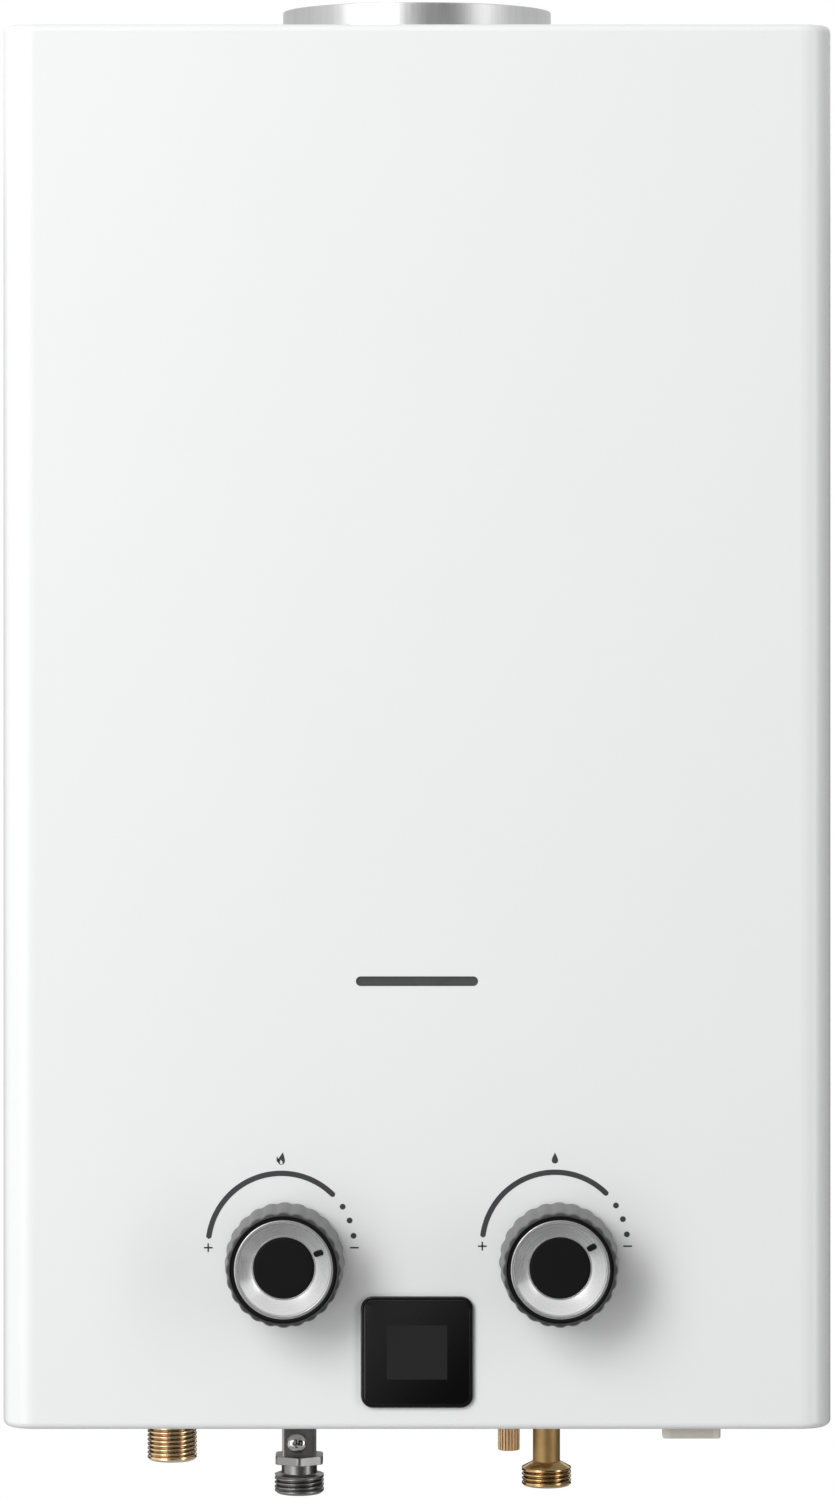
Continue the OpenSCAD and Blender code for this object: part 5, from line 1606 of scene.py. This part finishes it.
    def test_screw(self) -> Surface:
        """A domed screw head with a cross recess, on the front of the gas inlet's stem.

        Returns:
            The surface.
        """
        height = self.gas_end + self.gas_thread + self.gas_neck + self.test_up
        seat = (self.gas_x - self.test_aside, self.pipe_y - self.stem_half, height)
        return self.test_head.surface(seat, Axis.FRONT)

    def drain(self) -> Surface:
        """The drain plug: ridges r = R - d (0.5 + 0.5 cos(n t))^p up to a plain shank, and its stem.

        Returns:
            The surface.
        """
        low, wall, stem = self.drain_end, self.drain_r, self.drain_stem
        ridge = np.linspace(low + self.ridge_low, self.ridge_top - 0.1, self.ridge_rows)
        profile = np.concatenate((eased([(PIN_R, low, 0.0), (wall, low, 0.5), (wall, low + self.ridge_foot, 0.0)]),
                                  np.stack((np.full_like(ridge, wall), ridge), -1),
                                  eased([(wall, self.ridge_top + 0.1, 0.0), (wall, self.drain_top, 0.3),
                                         (stem, self.drain_top, 0.0), (stem, self.drain_stem_top, 0.4),
                                         (PIN_R, self.drain_stem_top, 0.0)])))

        def ridged(radius: np.ndarray, angle: np.ndarray, height: np.ndarray) -> tuple[np.ndarray, np.ndarray]:
            """Grooves along the plug, closing before its plain shank and towards its stem.

            Args:
                radius: Radius of each point.
                angle: Its angle.
                height: Its height.

            Returns:
                The ridged radius, and how deep in a groove the point is.
            """
            start, width = self.ridge_fade
            wave = (0.5 + 0.5 * np.cos(self.ridges * angle)) ** self.ridge_power
            groove = wave * (height < self.ridge_top) * np.clip((radius - stem - start) / width, 0, 1)
            return radius - self.ridge_depth * groove, groove

        at = (self.drain_x, self.pipe_y, 0.0)
        return revolved(profile, at, Axis.UP, Ends.CAPPED, self.drain_points, ridged)

    def build(self) -> list[Piece]:
        """The five pieces, each in place of its own node."""
        return [Piece("hot_outlet", self.hot(), "golden_brass", "hot_outlet_fitting", "brass", crease=50),
                Piece("gas_inlet", self.gas(), "dark_alloy", "gas_inlet_fitting", crease=40),
                Piece("cold_inlet", self.cold(), "brass", "cold_inlet_fitting", crease=50),
                Piece("test_screw", self.test_screw(), "chrome", "test_point_screw", "steel", crease=40),
                Piece("drain_grip", self.drain(), "golden_brass", "drain_plug", "brass", "drain_plug", 40)]


@dataclass
class CoverScrews:
    """The four screws that hold the cover to the back plate."""

    half_w: float = 170.0
    y: float = -9.0
    z: float = 202.5
    head: CrossHead = CrossHead(3.8, 2.2)

    def build(self) -> list[Piece]:
        """Four cross-head screws as one piece.

        Returns:
            The piece.
        """
        sides = ((-self.half_w, Axis.LEFT), (self.half_w, Axis.RIGHT))
        heads = [self.head.surface((x, self.y, z), axis) for x, axis in sides for z in (-self.z, self.z)]
        return [Piece("side_screws", joined(heads), "steel", "cover_screws", crease=40)]


@dataclass
class Display:
    """The display: a black surround and the lens set into it."""

    z: float = -255.5
    width: float = 46.0
    height: float = 45.5
    radius: float = 5.0
    out: float = 1.8
    depth: float = 12.0
    edge: float = 1.2
    ease: float = 0.7
    back_in: float = 4.6
    back_round: float = 2.0
    back_t: float = 2.0
    recess: float = 1.2
    recess_in: float = 9.0
    recess_round: float = 3.0
    lens_t: float = 1.15
    lens_gap: float = 0.05
    lens_proud: float = 0.02
    lens_ease: float = 0.25

    @property
    def at(self) -> Place:
        """Its middle on the front face."""
        return (0.0, -FRONT, self.z)

    def outline(self, inset: float, sharper: float) -> Place:
        """Width, height and corner radius of an outline, both sizes less an inset and the radius less its own."""
        return (self.width - inset, self.height - inset, self.radius - sharper)

    def surround(self) -> Surface:
        """Stacked outlines from the rear of the box, over the rounded front rim and down into the recess.

        Returns:
            The surface.
        """
        back, lens = self.outline(self.back_in, self.back_round), self.outline(2 * self.edge, self.edge)
        inner, floor = self.outline(self.recess_in, self.recess_round), self.out - self.recess
        bend = np.linspace(0.0, math.pi / 2, 6)
        rim = [(*self.outline(2 * inset, inset), level)
               for inset, level in zip(self.ease * (1 - np.cos(bend)), self.out - self.ease * (1 - np.sin(bend)))]
        levels = [(*back, -self.depth), (*back, 0.0), (*self.outline(0.0, 0.0), 0.0), *rim, (*lens, self.out),
                  (*lens, floor), (*inner, floor), (*inner, self.back_t - self.depth)]
        return stacked(levels, self.at, Axis.FRONT)

    def lens(self) -> Surface:
        """A slab of glass with an eased rim, flush with the surround."""
        size = self.outline(2 * (self.edge + self.lens_gap), self.edge)
        return eased_slab(*size, self.out - self.lens_t, self.out + self.lens_proud, self.lens_ease, self.at,
                          Axis.FRONT)

    def build(self) -> list[Piece]:
        """The two pieces, each in place of its own node."""
        return [Piece("display_surround", self.surround(), "black_surround", "display_housing", "black_gloss"),
                Piece("display_glass", self.lens(), "black_gloss", "display_lens")]


@dataclass
class BatteryLid:
    """The battery door: plate, finger tab, hinge barrel and pins."""

    x: float = 113.0
    front: float = -137.0
    rear: float = -60.0
    hinge_y: float = -55.0
    hinge_z: float = -286.0
    plate_span: Pair = (-287.3, -285.8)
    plate_round: float = 1.5
    plate_ease: float = 0.4
    half_w: float = 19.0
    tail_round: float = 0.4
    tail_ease: float = 0.3
    overlap: float = 2.0
    barrel: float = 15.2
    barrel_r: float = 2.4
    pin: float = 18.2
    pin_r: float = 1.5
    tab_w: float = 23.8
    tab_d: float = 8.0
    tab_low: float = -293.3
    tab_root: float = 0.6
    hollow_in: Pair = (6.0, 4.0)
    hinge_points: int = 48

    def tab(self) -> Surface:
        """The finger tab: outlines down its outer wall, around its rounded foot and up its hollow.

        Returns:
            The surface.
        """
        root, low = self.plate_span[0] + self.tab_root, self.tab_low
        w, d = self.tab_w, self.tab_d
        wide, deep = w - self.hollow_in[0], d - self.hollow_in[1]
        walls = [(w, d, 1.6, root), (w, d, 1.6, low + 0.6), (w - 0.3, d - 0.3, 1.45, low + 0.2),
                 (w - 1.0, d - 1.0, 1.1, low), (wide + 0.5, deep + 0.5, 0.75, low), (wide, deep, 0.5, low + 0.3),
                 (wide, deep, 0.5, root)]
        return stacked(walls, (self.x, self.front + d / 2, 0.0), Axis.UP, 8, Ends.LOOPED)

    def hinge(self) -> Surface:
        """The barrel with a pin at each end, the right half a mirror of the left.

        Returns:
            The surface.
        """
        half = [(PIN_R, self.pin, 0.0), (self.pin_r, self.pin, 0.3), (self.pin_r, self.barrel, 0.0),
                (self.barrel_r, self.barrel, 0.3)]
        profile = eased([(radius, -reach, ease) for radius, reach, ease in half] + half[::-1])
        at = (self.x, self.hinge_y, self.hinge_z)
        return revolved(profile, at, Axis.RIGHT, Ends.CAPPED, self.hinge_points)

    def build(self) -> list[Piece]:
        """The lid as eased slabs, the tab and the turned hinge.

        Returns:
            The piece.
        """
        plate = eased_slab(2 * self.half_w, self.rear - self.front, self.plate_round, *self.plate_span,
                           self.plate_ease, (self.x, (self.front + self.rear) / 2, 0.0), Axis.UP)
        tail = eased_slab(2 * self.barrel, self.hinge_y - self.rear + self.overlap, self.tail_round, *self.plate_span,
                          self.tail_ease, (self.x, (self.hinge_y + self.rear - self.overlap) / 2, 0.0), Axis.UP)
        lid = joined([plate, tail, self.tab(), self.hinge()])
        return [Piece("battery_lid", lid, "milky_plastic", "battery_door", body="battery_door")]


class CarriedNodes:
    """The frame's own nodes that keep their shape and get a finish."""

    def dress(self, finishes: Finishes) -> None:
        """Gives each node the finish of its slot.

        Args:
            finishes: The finishes by slot.
        """
        for name, node in sorted(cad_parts.items()):
            slot = node.data.materials[0].name.split(".")[0]
            node.data.materials[0] = finishes[slot]
            log.info("%s keeps its shape, in %s", name, slot)


# Studio


@dataclass(frozen=True)
class Lamp:
    """A soft box."""

    name: str
    place: Place
    aim: Place
    width: float
    height: float
    power: float

    def light(self) -> None:
        """Adds the lamp, its face turned to the point that it aims at."""
        data = bpy.data.lights.new(self.name, "AREA")
        data.shape, data.size, data.size_y, data.energy = "RECTANGLE", self.width, self.height, self.power
        lamp = placed(self.name, data)
        lamp.location = self.place
        lamp.rotation_euler = (Vector(self.aim) - Vector(self.place)).to_track_quat("-Z", "Y").to_euler()


@dataclass
class Studio:
    """Camera, lamps, white surroundings and a pale floor."""

    eye: Place = (0.0, -2.45, 0.1033)
    lens: float = 135.0
    sensor: float = 36.0
    clip: Pair = (0.05, 60.0)
    horizon: float = 474.3
    aside: float = 0.5
    ambient: float = 0.5
    floor_z: float = -4.2
    floor_r: float = 7.0
    floor_points: int = 96
    paper: Skin = backdrop("floor_paper", (0.84, 0.88), 9.0, (0.7, 0.1))
    card_r: float = 3.4
    card_arcs: tuple[Pair, ...] = ((-22.0, 43.0), (68.0, 250.0))
    card_tops: tuple[float, ...] = (1.6, 0.4)
    card_foot: float = -1.9
    card_points: int = 25
    cloth: Skin = backdrop("dark_cloth", (0.015, 0.025), 40.0, (0.9, 0.0))
    lamps: tuple[Lamp, ...] = (
        Lamp("key", (-1.8, -3.0, 1.5), (0.0, -0.15, 0.0), 2.4, 2.4, 90.0),
        Lamp("glint", (-0.62, -2.6, 0.0), (-0.1, -0.15, 0.0), 0.18, 2.4, 1.5),
        Lamp("left_strip", (-1.1, -1.35, 0.2), (-0.1, -0.15, 0.0), 0.8, 2.4, 9.0),
        Lamp("right_strip", (2.0, -1.3, 0.1), (0.1, -0.15, 0.0), 0.5, 2.4, 11.0),
    )

    def camera(self) -> None:
        """A level camera, its frame shifted so that the horizon lies where it should."""
        data = bpy.data.cameras.new("camera")
        data.sensor_width, data.lens = self.sensor, self.lens
        data.shift_x = self.aside / PHOTO_HEIGHT
        data.shift_y = (self.horizon - PHOTO_HEIGHT / 2) / PHOTO_HEIGHT
        data.clip_start, data.clip_end = self.clip
        eye = placed("camera", data)
        eye.location = self.eye
        eye.rotation_euler = (math.pi / 2, 0.0, 0.0)
        bpy.context.scene.camera = eye

    def surroundings(self) -> None:
        """A world that is white where it is seen, and softer where it only lights."""
        g = Graph(bpy.data.worlds.new("surroundings"))
        rays = g.node("ShaderNodeLightPath").outputs
        seen = rays["Is Camera Ray"]
        for ray in ("Is Glossy Ray", "Is Transmission Ray"):
            seen = g.node("ShaderNodeMath", {"operation": "MAXIMUM"}, {0: seen, 1: rays[ray]}).outputs[0]
        level = g.node("ShaderNodeMapRange", None, {0: seen, 3: self.ambient, 4: 1.0}).outputs[0]
        sky = g.node("ShaderNodeBackground", None, {0: (1.0, 1.0, 1.0, 1.0), 1: level})
        g.node("ShaderNodeOutputWorld", None, {0: sky.outputs[0]})
        bpy.context.scene.world = g.owner

    def staged(self, name: str, points: np.ndarray, faces: np.ndarray, finish: Skin, seen: bool) -> None:
        """Adds a piece of the studio, which isn't part of the heater.

        Args:
            name: Its name.
            points: Its points, in metres.
            faces: Its faces.
            finish: What it is made of.
            seen: Whether the camera sees it, or only reflections do.
        """
        mesh = bpy.data.meshes.new(name)
        mesh.from_pydata(points.tolist(), [], faces.tolist())
        mesh.materials.append(finish.make())
        made = placed(name, mesh)
        made.visible_camera = seen

    def floor(self) -> None:
        """A pale disc well below the pipes, which takes the object's shadow."""
        turn = angles(self.floor_points)
        points = self.floor_r * np.stack((np.cos(turn), np.sin(turn), np.zeros_like(turn)), -1)
        points[:, 2] = self.floor_z
        self.staged("floor", points, np.arange(self.floor_points)[None], self.paper, True)

    def card(self) -> None:
        """Dark curved cards behind the camera and the object, seen only in reflections: x = R sin a, y = -R cos a."""
        count = self.card_points
        turn = np.radians(np.array([np.linspace(*arc, count) for arc in self.card_arcs]))[:, None]
        ends = np.array([(self.card_foot, top) for top in self.card_tops])
        height = ends[:, :, None] * np.ones_like(turn)
        turn = np.broadcast_to(turn, height.shape)
        points = np.stack((self.card_r * np.sin(turn), -self.card_r * np.cos(turn), height), -1)
        low = (np.arange(count - 1) + 2 * count * np.arange(len(self.card_arcs))[:, None]).reshape(-1)
        faces = np.stack((low, low + 1, low + count + 1, low + count), -1)
        self.staged("dark_card", points.reshape(-1, 3), faces, self.cloth, False)

    def build(self) -> None:
        """Sets up the whole studio."""
        self.camera()
        self.surroundings()
        self.floor()
        self.card()
        for lamp in self.lamps:
            lamp.light()
        bpy.context.scene.view_settings.view_transform = "Standard"


def main() -> None:
    """Builds the studio, dresses the frame and makes every new piece."""
    logging.basicConfig(level=logging.INFO, format="%(name)s: %(message)s")
    Studio().build()
    finishes = Finishes()
    CarriedNodes().dress(finishes)
    assemblies = (Knob("gas", -54.0, 24.0), Knob("water", 58.0, 34.0),
                  Scale("gas", Sign.FLAME, -55.5, -212.4, 29.88, -176.6),
                  Scale("water", Sign.DROP, 56.4, -211.8, 29.72, -176.2),
                  FlueCollar(), Fittings(), CoverScrews(), Display(), BatteryLid())
    for assembly in assemblies:
        for piece in assembly.build():
            piece.make(finishes)


if __name__ == "__main__":
    main()
